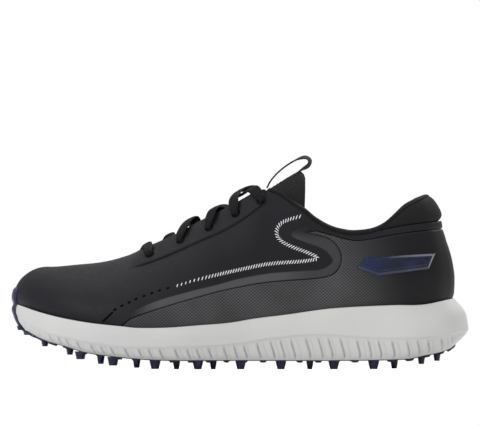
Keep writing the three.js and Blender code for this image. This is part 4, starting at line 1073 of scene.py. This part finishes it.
RIB_PITCH = 8.2
RIB_LEAN = 0.34
RIB_ROW = 14
BAR_PITCH = 13.0
PLATE_SECTION = (
    (0.3, OUTSOLE_THICKNESS - OUTSOLE_PROUD - 0.6 - FIT_GAP, 0), (0.05, 0.2, 0), (-0.3, -0.15, 0.9),
    (0.2, -0.3, 1.3), (1.8, -0.35, 1.3), (2.6, -0.5, 0), (8.0, -0.5, 0), (8.6, -0.1, 0), (12.0, -0.1, 0),
)


def cup_floor(x):
    return feather_edge(x) - CUP_DEPTH


def sole_ring(u, insets, height):
    """Ring round the sole, pulled in at toe, heel and sides, at a height given by a function of x."""
    x, y = ring(u, *insets)
    return np.stack([x, y, height(x)], -1)


def ring_shell(rows):
    """Points and faces of a closed shell through stacked rings, each end spanned by straight strips."""
    columns = len(rows[0])
    faces = grid_faces(len(rows), columns, closed=True)
    for start, turn in ((0, -1), ((len(rows) - 1) * columns, 1)):
        for k in range(columns // 2):
            corners = (k, k + 1, (columns - k - 1) % columns, (columns - k) % columns)
            face = [start + corner for corner in dict.fromkeys(corners)]
            if len(face) > 2:
                faces.append(tuple(face[::turn]))
    return np.concatenate(rows), faces


def wall_rings(u):
    """Rings up the outside of the sole wall, from the recess for the plate to the rim."""
    recess = OUTSOLE_MARGIN - 0.5
    lip = recess - SOLE_LIP
    return [
        sole_ring(u, (recess,) * 3, lambda x: sole_bottom(x) + 1.2),
        sole_ring(u, (lip,) * 3, sole_bottom),
        sole_ring(u, (2.2, 2.2, 2.6), lambda x: sole_bottom(x) + 0.3 * (sole_ridge(x) - sole_bottom(x))),
        sole_ring(u, (0.9, 0.9, 1.0), lambda x: sole_ridge(x) - 0.8),
        sole_ring(u, (0.1, 0, 0), lambda x: sole_ridge(x) + 0.8),
        sole_ring(u, (0.2, 2.4, 0.5), lambda x: 0.45 * sole_ridge(x) + 0.55 * feather_edge(x)),
        sole_ring(u, TOP_INSETS, feather_edge),
    ]


def make_midsole():
    """Foam shell: the ribbed wall, its rounded rim and the floor of the cup inside."""
    columns = 1500
    fine = np.linspace(0, 2 * SPANS, 6001)
    length = path_length(np.stack(ring(fine, 0, 0, 0), -1))
    run = np.linspace(0, length[-1], columns, endpoint=False)
    u = np.interp(run, length, fine)
    stops = wall_rings(u)
    wall = curve_through(stops[:5], (3, 8, 12, 3))
    rows = wall + curve_through(stops[4:], (9, 9))[1:]
    middle = wall[RIB_ROW]
    normal = unit(np.cross(np.roll(middle, -1, axis=0) - np.roll(middle, 1, axis=0), np.array([0, 0, 1.0])))
    if (normal * (middle - middle.mean(0))).sum() < 0:
        normal = -normal
    along = np.where(u <= SPANS, run, length[-1] - run)
    half = length[-1] / 2
    bottom, ridge_z = sole_bottom(middle[:, 0]), sole_ridge(middle[:, 0])
    ends = smooth_step(along, 22, 60) * (1 - smooth_step(along, half - 18, half - 2))
    shade = []
    for row in wall:
        rise = (row[:, 2] - bottom) / (ridge_z - bottom)
        window = smooth_step(rise, -0.02, 0.2) * (1 - smooth_step(rise, 0.72, 1.0)) * ends
        place = (along + RIB_LEAN * (row[:, 2] - bottom)) / RIB_PITCH
        wobble = 0.16 * np.sin(place * 1.7)
        share = (place + wobble) % 1.0
        second = (place + wobble + 0.62 + 0.1 * np.sin(place * 0.9)) % 1.0
        groove = np.exp(-((np.minimum(share, 1 - share) * RIB_PITCH) / 0.55)**2)
        hair = np.exp(-((np.minimum(second, 1 - second) * RIB_PITCH) / 0.35)**2)
        facet = 0.7 * (share - 0.5)
        row += normal * (window * (facet - 0.75 * groove - 0.25 * hair))[:, None]
        # Painted shade along each groove and hairline of the ribs, stored in the rib layer.
        shade.append(window * (0.65 * groove + 0.3 * hair))
    rim = rows[-1]
    inner = sole_ring(u, TOP_INSETS + CUP_RIM, feather_edge)
    for share in (0.0, 0.35, 0.75, 1.0):
        raised = rim + (inner - rim) * (0.12 + 0.76 * share)
        raised[:, 2] += 0.35 * math.sqrt(max(1 - (2 * share - 1)**2, 0)) - 0.1
        rows.append(raised)
    rows.append(sole_ring(u, TOP_INSETS + CUP_RIM, cup_floor))
    points, faces = ring_shell(rows)
    layer = np.zeros(len(points))
    layer[:len(wall) * columns] = np.concatenate(shade)
    piece = make_object("midsole_foam", points, faces, np.zeros((len(points), 2)), {"rib": layer})
    outward_faces(piece)
    return dress(piece, FOAM_SHELL, "midsole", "midsole")


def make_plate():
    """Rubber plate under the sole, with short bars along its edge."""
    u = np.linspace(0, 2 * SPANS, 900, endpoint=False)
    share = (path_length(np.stack(ring(u, 0, 0, 0), -1)) / BAR_PITCH) % 1.0
    bar = smooth_step(share, 0.08, 0.14) * (1 - smooth_step(share, 0.36, 0.42))
    rows = []
    for inset, height, bar_depth in PLATE_SECTION:
        row = sole_ring(u, (OUTSOLE_MARGIN + inset,) * 3, sole_bottom)
        row[:, 2] += height - bar_depth * bar
        rows.append(row)
    points, faces = ring_shell(rows)
    piece = make_object("outsole_plate", points, faces, np.zeros((len(points), 2)))
    outward_faces(piece)
    return dress(piece, NAVY_RUBBER, "outsole", "outsole")


LARGE_STUD_ROWS = [-105, -83.5, -55.8, -27.6, 0.6, 27.1, 62, 88.2]
SMALL_STUD_ROWS = [-112, -91.6, -67.9, -41.7, -17.5, 46.2, 101.8, 119.7]
SINGLE_STUDS = [
    (-144.8, 1), (-140.8, 13), (-128.5, -12), (-128.5, 22), (130, -13), (130, 12), (119.7, 0), (101.8, 0),
    (-91.6, 0), (-67.9, -3), (-41.7, -5), (-112, 6),
]


def stud_pattern(radius, depth):
    """One stud, tip down at depth: a tapered lug with rounded corners and a dished tip."""
    bpy.ops.object.select_all(action="DESELECT")
    bpy.ops.mesh.primitive_cone_add(vertices=8, radius1=0.66 * radius * MM, radius2=radius * MM,
                                    depth=depth * MM, location=(0, 0, -depth / 2 * MM))
    lug = bpy.context.object
    bpy.ops.object.transform_apply(location=True, rotation=True, scale=True)
    bpy.ops.object.mode_set(mode="EDIT")
    work = bmesh.from_edit_mesh(lug.data)
    for face in work.faces:
        face.select_set(face.normal.z < -0.9)
    bmesh.update_edit_mesh(lug.data)
    bpy.ops.mesh.inset(thickness=0.22 * radius * MM)
    bpy.ops.transform.translate(value=(0, 0, 0.35 * MM))
    bpy.ops.mesh.select_all(action="DESELECT")
    work = bmesh.from_edit_mesh(lug.data)
    for edge in work.edges:
        low = min(vert.co.z for vert in edge.verts)
        high = max(vert.co.z for vert in edge.verts)
        at_tip = low < -0.95 * depth * MM and high < -0.9 * depth * MM
        edge.select_set(at_tip or high - low > 0.5 * depth * MM)
    bmesh.update_edit_mesh(lug.data)
    bpy.ops.mesh.bevel(offset=0.35 * MM, segments=2)
    bpy.ops.object.mode_set(mode="OBJECT")
    bpy.ops.object.select_all(action="DESELECT")
    return lug


def stud_shortfall(x):
    """How much shorter the studs are where the sole turns up at the toe and the heel."""
    toe = 1.9 * float(smooth_step(x, -96, -122)) + 1.0 * float(smooth_step(x, -130, -142))
    return toe + 0.8 * float(smooth_step(x, 108, 122))


def make_studs():
    """Two rows of studs down each side of the plate and single ones between them."""
    places = []
    u = np.linspace(0, 2 * SPANS, 2801)
    edge = np.stack(ring(u, *(OUTSOLE_MARGIN,) * 3), -1)
    lateral, medial = edge[u <= SPANS], edge[u >= SPANS][::-1]
    for row_set, radius, inset in ((LARGE_STUD_ROWS, LARGE_STUD, LARGE_STUD + 0.8),
                                   (SMALL_STUD_ROWS, SMALL_STUD, 3 * SMALL_STUD + 4)):
        for x in row_set:
            places.append((x, np.interp(x, lateral[:, 0], lateral[:, 1]) + inset, radius))
            places.append((x, np.interp(x, medial[:, 0], medial[:, 1]) - inset, radius))
    places += [(x, y, SMALL_STUD) for x, y in SINGLE_STUDS]
    lugs = []
    for radius in (LARGE_STUD, SMALL_STUD):
        pattern = stud_pattern(radius, STUD_HEIGHT + 0.5)
        for x, y, size in places:
            if size != radius:
                continue
            foot = float(sole_bottom(x)) - OUTSOLE_PROUD + 0.4
            tip = float(sole_bottom(x)) - OUTSOLE_PROUD - STUD_HEIGHT + stud_shortfall(x)
            reach = foot - max(tip, 0)
            lug = bpy.data.objects.new("lug", pattern.data.copy())
            bpy.context.scene.collection.objects.link(lug)
            stretch = reach / (STUD_HEIGHT + 0.5)
            spot = to_frame([x, y, foot])
            lug.data.transform(Matrix.Translation(spot) @ Matrix.Diagonal((1, 1, stretch, 1)))
            lugs.append(lug)
        bpy.data.objects.remove(pattern)
    bpy.ops.object.select_all(action="DESELECT")
    for lug in lugs:
        lug.select_set(True)
    bpy.context.view_layer.objects.active = lugs[0]
    bpy.ops.object.join()
    piece = bpy.context.object
    piece.name = "outsole_studs"
    piece.data.name = "outsole_studs"
    bpy.ops.object.shade_smooth_by_angle(angle=math.radians(24))
    bpy.ops.object.select_all(action="DESELECT")
    return dress(piece, NAVY_RUBBER, "outsole")


def make_bumper():
    """Thin rubber strip up the front of the toe."""
    u = np.linspace(-0.66, 0.66, 61)
    stops = [
        sole_ring(u, (OUTSOLE_MARGIN + 4,) * 3, lambda x: sole_bottom(x) - 0.3),
        sole_ring(u, (OUTSOLE_MARGIN - 3,) * 3, lambda x: sole_bottom(x) - 0.3),
        *wall_rings(u)[2:],
    ]
    ledge = wall_rings(u)[2][:, 2]
    lifted = []
    for k, stop in enumerate(stops):
        out = np.stack([stop[:, 0] + 110, stop[:, 1], 0 * ledge], -1)
        out = unit(out)
        out[:, 2] = -0.5 * np.maximum(0, 1 - (stop[:, 2] - ledge) / 6) if k > 1 else -1.0
        out = unit(out)
        lifted.append((stop, out))
    for v in (0.24, 0.4):
        spot, out = form_point(u, v + 0 * u), form_normal(u, v + 0 * u)
        lifted.append((spot + out * fullness(np.abs(u), spot[:, 2])[:, None], out))
    centre = np.array([stop for stop, _ in lifted])
    ways = np.array([way for _, way in lifted])
    spans = [5] * (len(lifted) - 1)
    base = np.array(curve_through(list(centre), spans))
    way = np.array(curve_through(list(ways), spans))
    way = unit(way)
    sides = np.minimum(np.arange(len(u)), np.arange(len(u))[::-1])[None, :]
    ends = np.minimum(np.arange(len(base)) + 9, np.arange(len(base))[::-1])[:, None]
    near = np.clip(np.minimum(sides / 6.0, ends / 3.0), 0, 1)
    height = 0.15 + BUMPER_THICKNESS * np.sqrt(1 - (1 - near)**2)
    points, faces = closed_slab(base + way * height[..., None], base + way * 0.05)
    piece = make_object("toe_bumper", points, faces, np.zeros((len(points), 2)))
    outward_faces(piece)
    return dress(piece, NAVY_RUBBER, "outsole")


BOARD_THICKNESS = 1.3
INSOLE_THICKNESS = 4.2
COVER_INSET = 8.5


def make_insole_cover():
    """Cloth cover of the insole, cupped up a little round the heel."""
    columns, across = 220, 26
    u = np.linspace(0.02, SPANS - 0.02, columns)
    inset = TOP_INSETS + CUP_RIM + COVER_INSET
    ax, ay = ring(u, *inset)
    bx, by = ring(2 * SPANS - u, *inset)
    base = BOARD_THICKNESS + 2 * FIT_GAP + INSOLE_THICKNESS + FIT_GAP
    top, under = [], []
    for t in np.linspace(0, 1, across):
        x, y = ax + (bx - ax) * t, ay + (by - ay) * t
        rise = cup_floor(x) + base
        rim = min(t, 1 - t) * 2
        cup = 1.6 * (1 - rim)**4 * smooth_step(x, -120, -20)
        top.append(np.stack([x, y, rise + 0.8 - 0.5 * rolled(rim, 0.06, 1.0) + cup], -1))
        under.append(np.stack([x, y, rise + 0.05 + cup], -1))
    points, faces = closed_slab(np.array(top), np.array(under))
    piece = make_object("insole_cloth_cover", points, faces, points[:, :2] * MM)
    outward_faces(piece)
    return dress(piece, INSOLE_CLOTH, "insole_cloth", "insole_cover", body="insole")


# ------------------------------------------------------------ the tongue

TONGUE_START = -76.0
TONGUE_END = 44.2
TONGUE_SIDE_SPACE = 5.0
TONGUE_HINGE = 20.0


def wall_half_width(x, side, heights):
    """Sideways distance of the form's wall from y = -2 at these heights, at one x."""
    u = np.linspace(1, SPANS - 0.5, 220)
    v = np.linspace(CUP_EDGE, 1, 70)
    if side > 0:
        u = 2 * SPANS - u
    uu, vv = np.meshgrid(u, v, indexing="ij")
    grid = form_point(uu.ravel(), vv.ravel()).reshape(len(u), len(v), 3)
    ys, zs = [], []
    for k in range(len(v)):
        xs = grid[:, k, 0]
        order = np.argsort(xs)
        if xs.min() <= x <= xs.max():
            ys.append(np.interp(x, xs[order], grid[order, k, 1]))
            zs.append(np.interp(x, xs[order], grid[order, k, 2]))
    ys, zs = np.array(ys), np.array(zs)
    order = np.argsort(zs)
    return np.interp(heights, zs[order], np.abs(ys[order] + 2), right=99.0)


def tongue_sag(x, y):
    """Drop of the tongue from its centre line at a distance y to the side."""
    return 0.025 * y**2 + 1.4e-4 * smooth_step(x, -10, 30) * y**4


def tongue_widths(xs):
    """Half widths of the tongue on the lateral and the medial side."""
    widths = np.zeros((2, len(xs)))
    y = np.linspace(0, 30, 121)
    for k, x in enumerate(xs):
        free = 17 + 9 * smooth_step(x, -76, -20) - 7 * smooth_step(x, 0, 34)
        sag = tongue_sag(x, y)
        for row, side in enumerate((-1, 1)):
            room = wall_half_width(x, side, tongue_centre(x) - sag) - WALL_DEPTH - TONGUE_SIDE_SPACE
            blocked = np.nonzero(y > room)[0]
            widths[row, k] = min(free, y[blocked[0]] if len(blocked) else 99.0)
    for row in widths:
        row[:] = np.convolve(np.pad(row, 2, mode="edge"), np.ones(5) / 5, mode="valid")
    return widths


def make_tongue():
    """Padded tongue with fine ribs across its free end."""
    stations, across = 260, 75
    xs = np.linspace(TONGUE_START, TONGUE_END, stations)
    coarse = np.linspace(TONGUE_START, TONGUE_END, 40)
    widths = tongue_widths(coarse)
    slope = tongue_centre(xs + 0.5) - tongue_centre(xs - 0.5)
    inward = unit(np.stack([slope, 0 * slope, -1 + 0 * slope], -1))
    run = path_length(np.stack([xs, tongue_centre(xs)], -1))
    shares = np.sin(np.linspace(-1, 1, across) * math.pi / 2) * 0.5 + np.linspace(-1, 1, across) * 0.5
    top, under, uv = [], [], []
    end = np.clip((run[-1] - run) / 3.0, 0, 1)
    for share in shares:
        half = np.interp(xs, coarse, widths[0 if share < 0 else 1])
        y = share * half
        sag = tongue_sag(xs, y)
        crown = np.stack([xs, y - 2, tongue_centre(xs) - sag], -1)
        edge = math.sqrt(max(1 - abs(share)**6, 0.0))
        round_end = np.sqrt(1 - (1 - end)**2)
        rib = 0.11 * np.cos(2 * math.pi * run / 2.6) * smooth_step(xs, 8, 18) * (1 - abs(share)**8)
        puff = TONGUE_THICKNESS * edge * round_end
        middle = crown + inward * (TONGUE_THICKNESS / 2)
        top.append(middle - inward * (puff / 2 + rib * round_end)[:, None])
        under.append(middle + inward * (puff / 2 * (1 - 0.4 * abs(share)**3))[:, None])
        uv.append(np.stack([run, y + 40], -1) * MM)
    points, faces = closed_slab(np.array(top), np.array(under))
    piece = make_object("tongue_pad", points, faces, np.tile(np.array(uv).reshape(-1, 2), (2, 1)))
    finish_with(piece, "WELD", merge_threshold=0.02 * MM)
    outward_faces(piece)
    piece.data.materials.append(TONGUE_KNIT)
    low, high = to_frame([TONGUE_HINGE - 7, -2, 112]), to_frame([TONGUE_HINGE + 7, -2, 124])
    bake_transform(piece)
    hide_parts("tongue_base", "tongue_flap")
    return piece


LOOP_LINE = [
    (17.9, 119.6), (20.2, 124.0), (25.0, 129.6), (31.2, 134.6), (37.8, 138.4), (43.2, 139.8), (46.2, 137.8),
    (45.2, 134.4), (41.4, 132.0), (38.6, 130.2),
]


LOOP_HALF_WIDTH = 5.4


def make_pull_loop():
    """Flat ribbed ribbon that stands up behind the tongue, turned over at its free end."""
    line = rounded(LOOP_LINE, 14)
    ahead = unit(np.gradient(line, axis=0))
    out = np.stack([-ahead[:, 1], ahead[:, 0]], -1)
    run = path_length(line)
    turned = smooth_step(run, 0.5 * run[-1], 0.7 * run[-1])
    twist = 0.2 * turned * (1 - smooth_step(run, 0.86 * run[-1], run[-1]))
    rib = 0.02 * np.cos(2 * math.pi * run / 1.1)
    sections = []
    for angle in girth(28):
        across = LOOP_HALF_WIDTH * squared(math.cos(angle), 0.35)
        thick = (0.55 + rib) * squared(math.sin(angle), 0.9)
        flat = across * np.cos(twist) - thick * np.sin(twist)
        spot = line + out * (across * np.sin(twist) + thick * np.cos(twist))[:, None]
        sections.append(np.stack([spot[:, 0], flat - 1.5, spot[:, 1]], -1))
    piece = swept_piece("pull_loop_ribbon", sections, run, np.stack(sections, 1)[..., 1] + 20)
    return dress(piece, LOOP_WEBBING, "loop_webbing", "pull_loop", body="tongue_top")


# ------------------------------------------------------------ the lace

LACE_OVER = FIT_GAP + OVERLAY_THICKNESS + 1.5
LACE_UNDER = WALL_DEPTH + LACE_RADIUS + 0.6
CROSSING = LACE_RADIUS + 0.25
LACE_TAIL = [(10, 102, 0), (7, 92, 0), (4, 82, 0.5), (1, 73, 2), (-1, 66, 4)]
LACE_TAIL_DEPTH = WALL_DEPTH + AGLET_RADIUS + 0.5
LACE_WIDTH = 7.4
LACE_THICKNESS = 1.7
LACE_NECK = 2.2
LACE_BUNCH = 1.25


def throat_rim(x, side):
    """Point of the throat's free edge at one x."""
    u = np.linspace(RIDGE_END, SPANS, 900)
    if side > 0:
        u = 2 * SPANS - u
    edge = form_point(u, np.ones_like(u))
    order = np.argsort(edge[:, 0])
    return np.array([np.interp(x, edge[order, 0], edge[order, axis]) for axis in range(3)])


def lace_half(start):
    """The lace's stops from the bar at the toe end to its tail, which starts on the given side."""
    def beside(k, side, distance):
        points, normals = EYELET_SPOTS[side]
        return points[k] + normals[k] * distance

    def edge_over(x, side):
        return throat_rim(x, side) + np.array([0, side * 1.5, LACE_OVER + 1.1])

    def edge_under(x, side):
        return throat_rim(x, side) + np.array([0, -side * 3.5, -LACE_UNDER - 0.5])

    across = [eyelet[0] for eyelet in EYELETS]
    route = [beside(0, start, LACE_OVER), beside(0, start, 0), beside(0, start, -LACE_UNDER),
             edge_under(across[0] + 5, start)]
    side = start
    for k in range(1, 5):
        route.append(np.array([LACE_CREST[k][0], -1.5, LACE_CREST[k][1] + start * CROSSING]))
        side = -side
        if k < 4:
            route += [edge_under(across[k] - 6, side), beside(k, side, -LACE_UNDER), beside(k, side, 0),
                      beside(k, side, LACE_OVER), edge_over(across[k] + LACE_LEAN[k], side)]
        else:
            route += [edge_over(across[k] - 4.5, side) - np.array([0, 0, 1.4]), beside(k, side, LACE_OVER),
                      beside(k, side, 0), beside(k, side, -LACE_UNDER)]
    tail = np.array(LACE_TAIL)
    points, normals = place_on_upper(tail[:, 0], tail[:, 1], side)
    route += list(points - normals * (LACE_TAIL_DEPTH + tail[:, 2:3]))
    return route


CURVE_PYRAMID = (((0, 1), (1, 2), (2, 3)), ((0, 2), (1, 3)), ((1, 2),))


def even_curve(stops, spacing):
    """Centripetal curve through the stops, resampled at an even spacing."""
    stops = np.array(stops)
    padded = np.vstack([2 * stops[0] - stops[1], stops, 2 * stops[-1] - stops[-2]])
    dense = []
    for i in range(len(stops) - 1):
        p = padded[i:i + 4]
        knots = np.concatenate([[0], np.cumsum(np.linalg.norm(np.diff(p, axis=0), axis=1)**0.5)])
        for t in np.linspace(knots[1], knots[2], 30, endpoint=False):
            level = list(p)
            for pairs in CURVE_PYRAMID:
                level = [(level[j] * (knots[b] - t) + level[j + 1] * (t - knots[a])) / (knots[b] - knots[a])
                         for j, (a, b) in enumerate(pairs)]
            dense.append(level[0])
    dense.append(stops[-1])
    dense = np.array(dense)
    run = path_length(dense)
    places = np.linspace(0, run[-1], int(run[-1] / spacing) + 1)
    return np.stack([np.interp(places, run, dense[:, axis]) for axis in range(3)], -1), places


def lace_route():
    """Evenly spaced points down the whole lace, and the length run at each."""
    bar = [throat_rim(EYELETS[0][0] - 3, side) + np.array([0, 0, LACE_OVER]) for side in (-1, 1)]
    crest = np.array([LACE_CREST[0][0], -1.5, LACE_CREST[0][1]])
    return even_curve(lace_half(-1)[::-1] + [bar[0], crest, bar[1]] + lace_half(1), 0.55)


def make_lace():
    """Flat braid along the route, bunched up where it goes through an eyelet, and its two tips."""
    path, run = lace_route()
    ahead = unit(np.gradient(path, axis=0))
    heart = np.stack([path[:, 0], 0 * run - 2, tongue_centre(path[:, 0]) - 36], -1)
    up = path - heart
    up[:, 0] = -0.55 * np.linalg.norm(up, axis=1)
    up = unit(up)
    broad = np.cross(up, ahead)
    sure = np.linalg.norm(broad, axis=1)
    broad /= sure[:, None] + 1e-9
    for k in range(1, len(broad)):
        if broad[k] @ broad[k - 1] < 0:
            broad[k] = -broad[k]
    weight = smooth_step(sure, 0.25, 0.75) + 1e-4
    window = np.hanning(23)
    smooth = np.stack([np.convolve(broad[:, axis] * weight, window, mode="same") for axis in range(3)], -1)
    smooth -= ahead * (smooth * ahead).sum(1, keepdims=True)
    broad = smooth / np.linalg.norm(smooth, axis=1, keepdims=True)
    thick_way = np.cross(broad, ahead)
    near = np.full(len(path), 99.0)
    for points, _ in EYELET_SPOTS.values():
        for spot in points:
            near = np.minimum(near, np.linalg.norm(path - spot, axis=1))
    ends = np.minimum(run, run[-1] - run)
    free = np.minimum(smooth_step(near, 1.5, 7.5), smooth_step(ends, 0, 14))
    half_width = LACE_NECK + (LACE_WIDTH / 2 - LACE_NECK) * free
    half_thick = LACE_BUNCH - (LACE_BUNCH - LACE_THICKNESS / 2) * free
    sections = []
    for angle in girth(20):
        across = squared(math.cos(angle), 0.6)
        rise = math.sin(angle)
        braid = 1 + 0.07 * np.cos(2 * math.pi * run / 1.5 + 2.2 * across * np.sign(rise))
        cup = 0.22 * (across**2 - 0.4) * free
        sections.append(path + broad * (half_width * across)[:, None]
                        + thick_way * (half_thick * rise * braid - cup)[:, None])
    piece = swept_piece("lace_braid", sections, run, np.linspace(0, 14, len(sections))[None])
    dress(piece, LACE_WEAVE, "lace_weave", "lace")
    for name, at, before in (("lateral_aglet", 0, 3), ("medial_aglet", -1, -4)):
        make_aglet(name, path[at], path[at] - path[before])
    return piece


def make_aglet(name, end, way):
    """Clear tip on one end of the lace, pointing the way the lace runs out."""
    way = Vector(way).normalized()
    length, radius = 16.0, AGLET_RADIUS
    bpy.ops.object.select_all(action="DESELECT")
    bpy.ops.mesh.primitive_cone_add(vertices=20, radius1=radius * MM, radius2=0.8 * radius * MM,
                                    depth=length * MM)
    tip = bpy.context.object
    finish_with(tip, "BEVEL", width=0.35 * MM, segments=3)
    turn = Vector((0, 0, 1)).rotation_difference(way).to_matrix().to_4x4()
    middle = Vector(to_frame(end)) + way * (length / 2 + FIT_GAP) * MM
    tip.data.transform(Matrix.Translation(middle) @ turn)
    bpy.ops.object.shade_smooth_by_angle(angle=math.radians(35))
    tip.name = name + "_tip"
    tip.data.name = tip.name
    bpy.ops.object.select_all(action="DESELECT")
    return dress(tip, CLEAR_TIP, "aglet_plastic", name)


# ------------------------------------------------------------ the shoe


def make_shoe():
    """All pieces; the parts nobody sees keep their plain shape and only get a material."""
    make_saddle()
    make_quarter("lateral_quarter_skin", -1)
    make_quarter("medial_quarter_skin", 1)
    make_eyestay()
    make_heel_tab()
    make_lining()
    make_collar_binding()
    for side, word in ((-1, "lateral"), (1, "medial")):
        make_emblem(word + "_emblem_badge", side)
        make_perforations(word + "_perforations", side)
        make_stitching(word + "_stitching_threads", side)
    make_midsole()
    make_plate()
    make_studs()
    make_bumper()
    make_insole_cover()
    make_tongue()
    make_pull_loop()
    make_lace()
    hidden = {
        "toe_puff": FIBRE_BOARD, "heel_counter": FIBRE_BOARD, "strobel_board": FIBRE_BOARD,
        "collar_foam": PADDING_FOAM, "insole": INSOLE_FOAM,
    }
    for node, material in hidden.items():
        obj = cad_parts[node]
        obj.data.materials.clear()
        obj.data.materials.append(material)


def soft_light(name, place, aim, size, power):
    data = bpy.data.lights.new(name, "AREA")
    data.shape = "RECTANGLE"
    data.size, data.size_y = size
    data.energy = power
    light = bpy.data.objects.new(name, data)
    light.location = place
    light.rotation_euler = (Vector(aim) - Vector(place)).to_track_quat("-Z", "Y").to_euler()
    bpy.context.scene.collection.objects.link(light)
    return light


CAMERA_DISTANCE, CAMERA_HEIGHT, AIM_HEIGHT = 10.55, 0.012, 0.1034


def make_studio():
    """Pale floor and background, soft lights and a long lens near the ground."""
    bpy.ops.object.select_all(action="DESELECT")
    bpy.ops.mesh.primitive_plane_add(size=6.0)
    floor = bpy.context.object
    floor.name = "studio_floor"
    floor.data.materials.append(FLOOR_FINISH)
    world = bpy.data.worlds.new("studio")
    bpy.context.scene.world = world
    world.use_nodes = True
    nodes, links = world.node_tree.nodes, world.node_tree.links
    nodes["Background"].inputs["Color"].default_value = (1, 1, 1, 1)
    strength = nodes.new("ShaderNodeMapRange")
    strength.inputs["To Min"].default_value = 0.55
    strength.inputs["To Max"].default_value = 1.0
    links.new(nodes.new("ShaderNodeLightPath").outputs["Is Camera Ray"], strength.inputs["Value"])
    links.new(strength.outputs[0], nodes["Background"].inputs["Strength"])
    soft_light("key_light", (-1.8, -1.9, 1.4), (0, 0, 0.07), (1.2, 1.0), 36)
    soft_light("rim_light", (0.9, 1.6, 1.5), (0, 0, 0.07), (1.0, 0.8), 26)
    top = bpy.data.lights.new("top_light", "SUN")
    top.energy = 1.7
    top.angle = math.radians(70)
    bpy.context.scene.collection.objects.link(bpy.data.objects.new("top_light", top))
    bpy.context.scene.view_settings.view_transform = "Standard"
    data = bpy.data.cameras.new("camera")
    data.lens = 1200
    data.sensor_width = 36
    data.clip_end = 50
    camera = bpy.data.objects.new("camera", data)
    camera.location = (0.0, -CAMERA_DISTANCE, CAMERA_HEIGHT)
    tilt = math.atan2(AIM_HEIGHT - CAMERA_HEIGHT, CAMERA_DISTANCE)
    camera.rotation_euler = (math.radians(90) + tilt, 0, 0)
    bpy.context.scene.collection.objects.link(camera)
    bpy.context.scene.camera = camera


make_studio()
make_shoe()
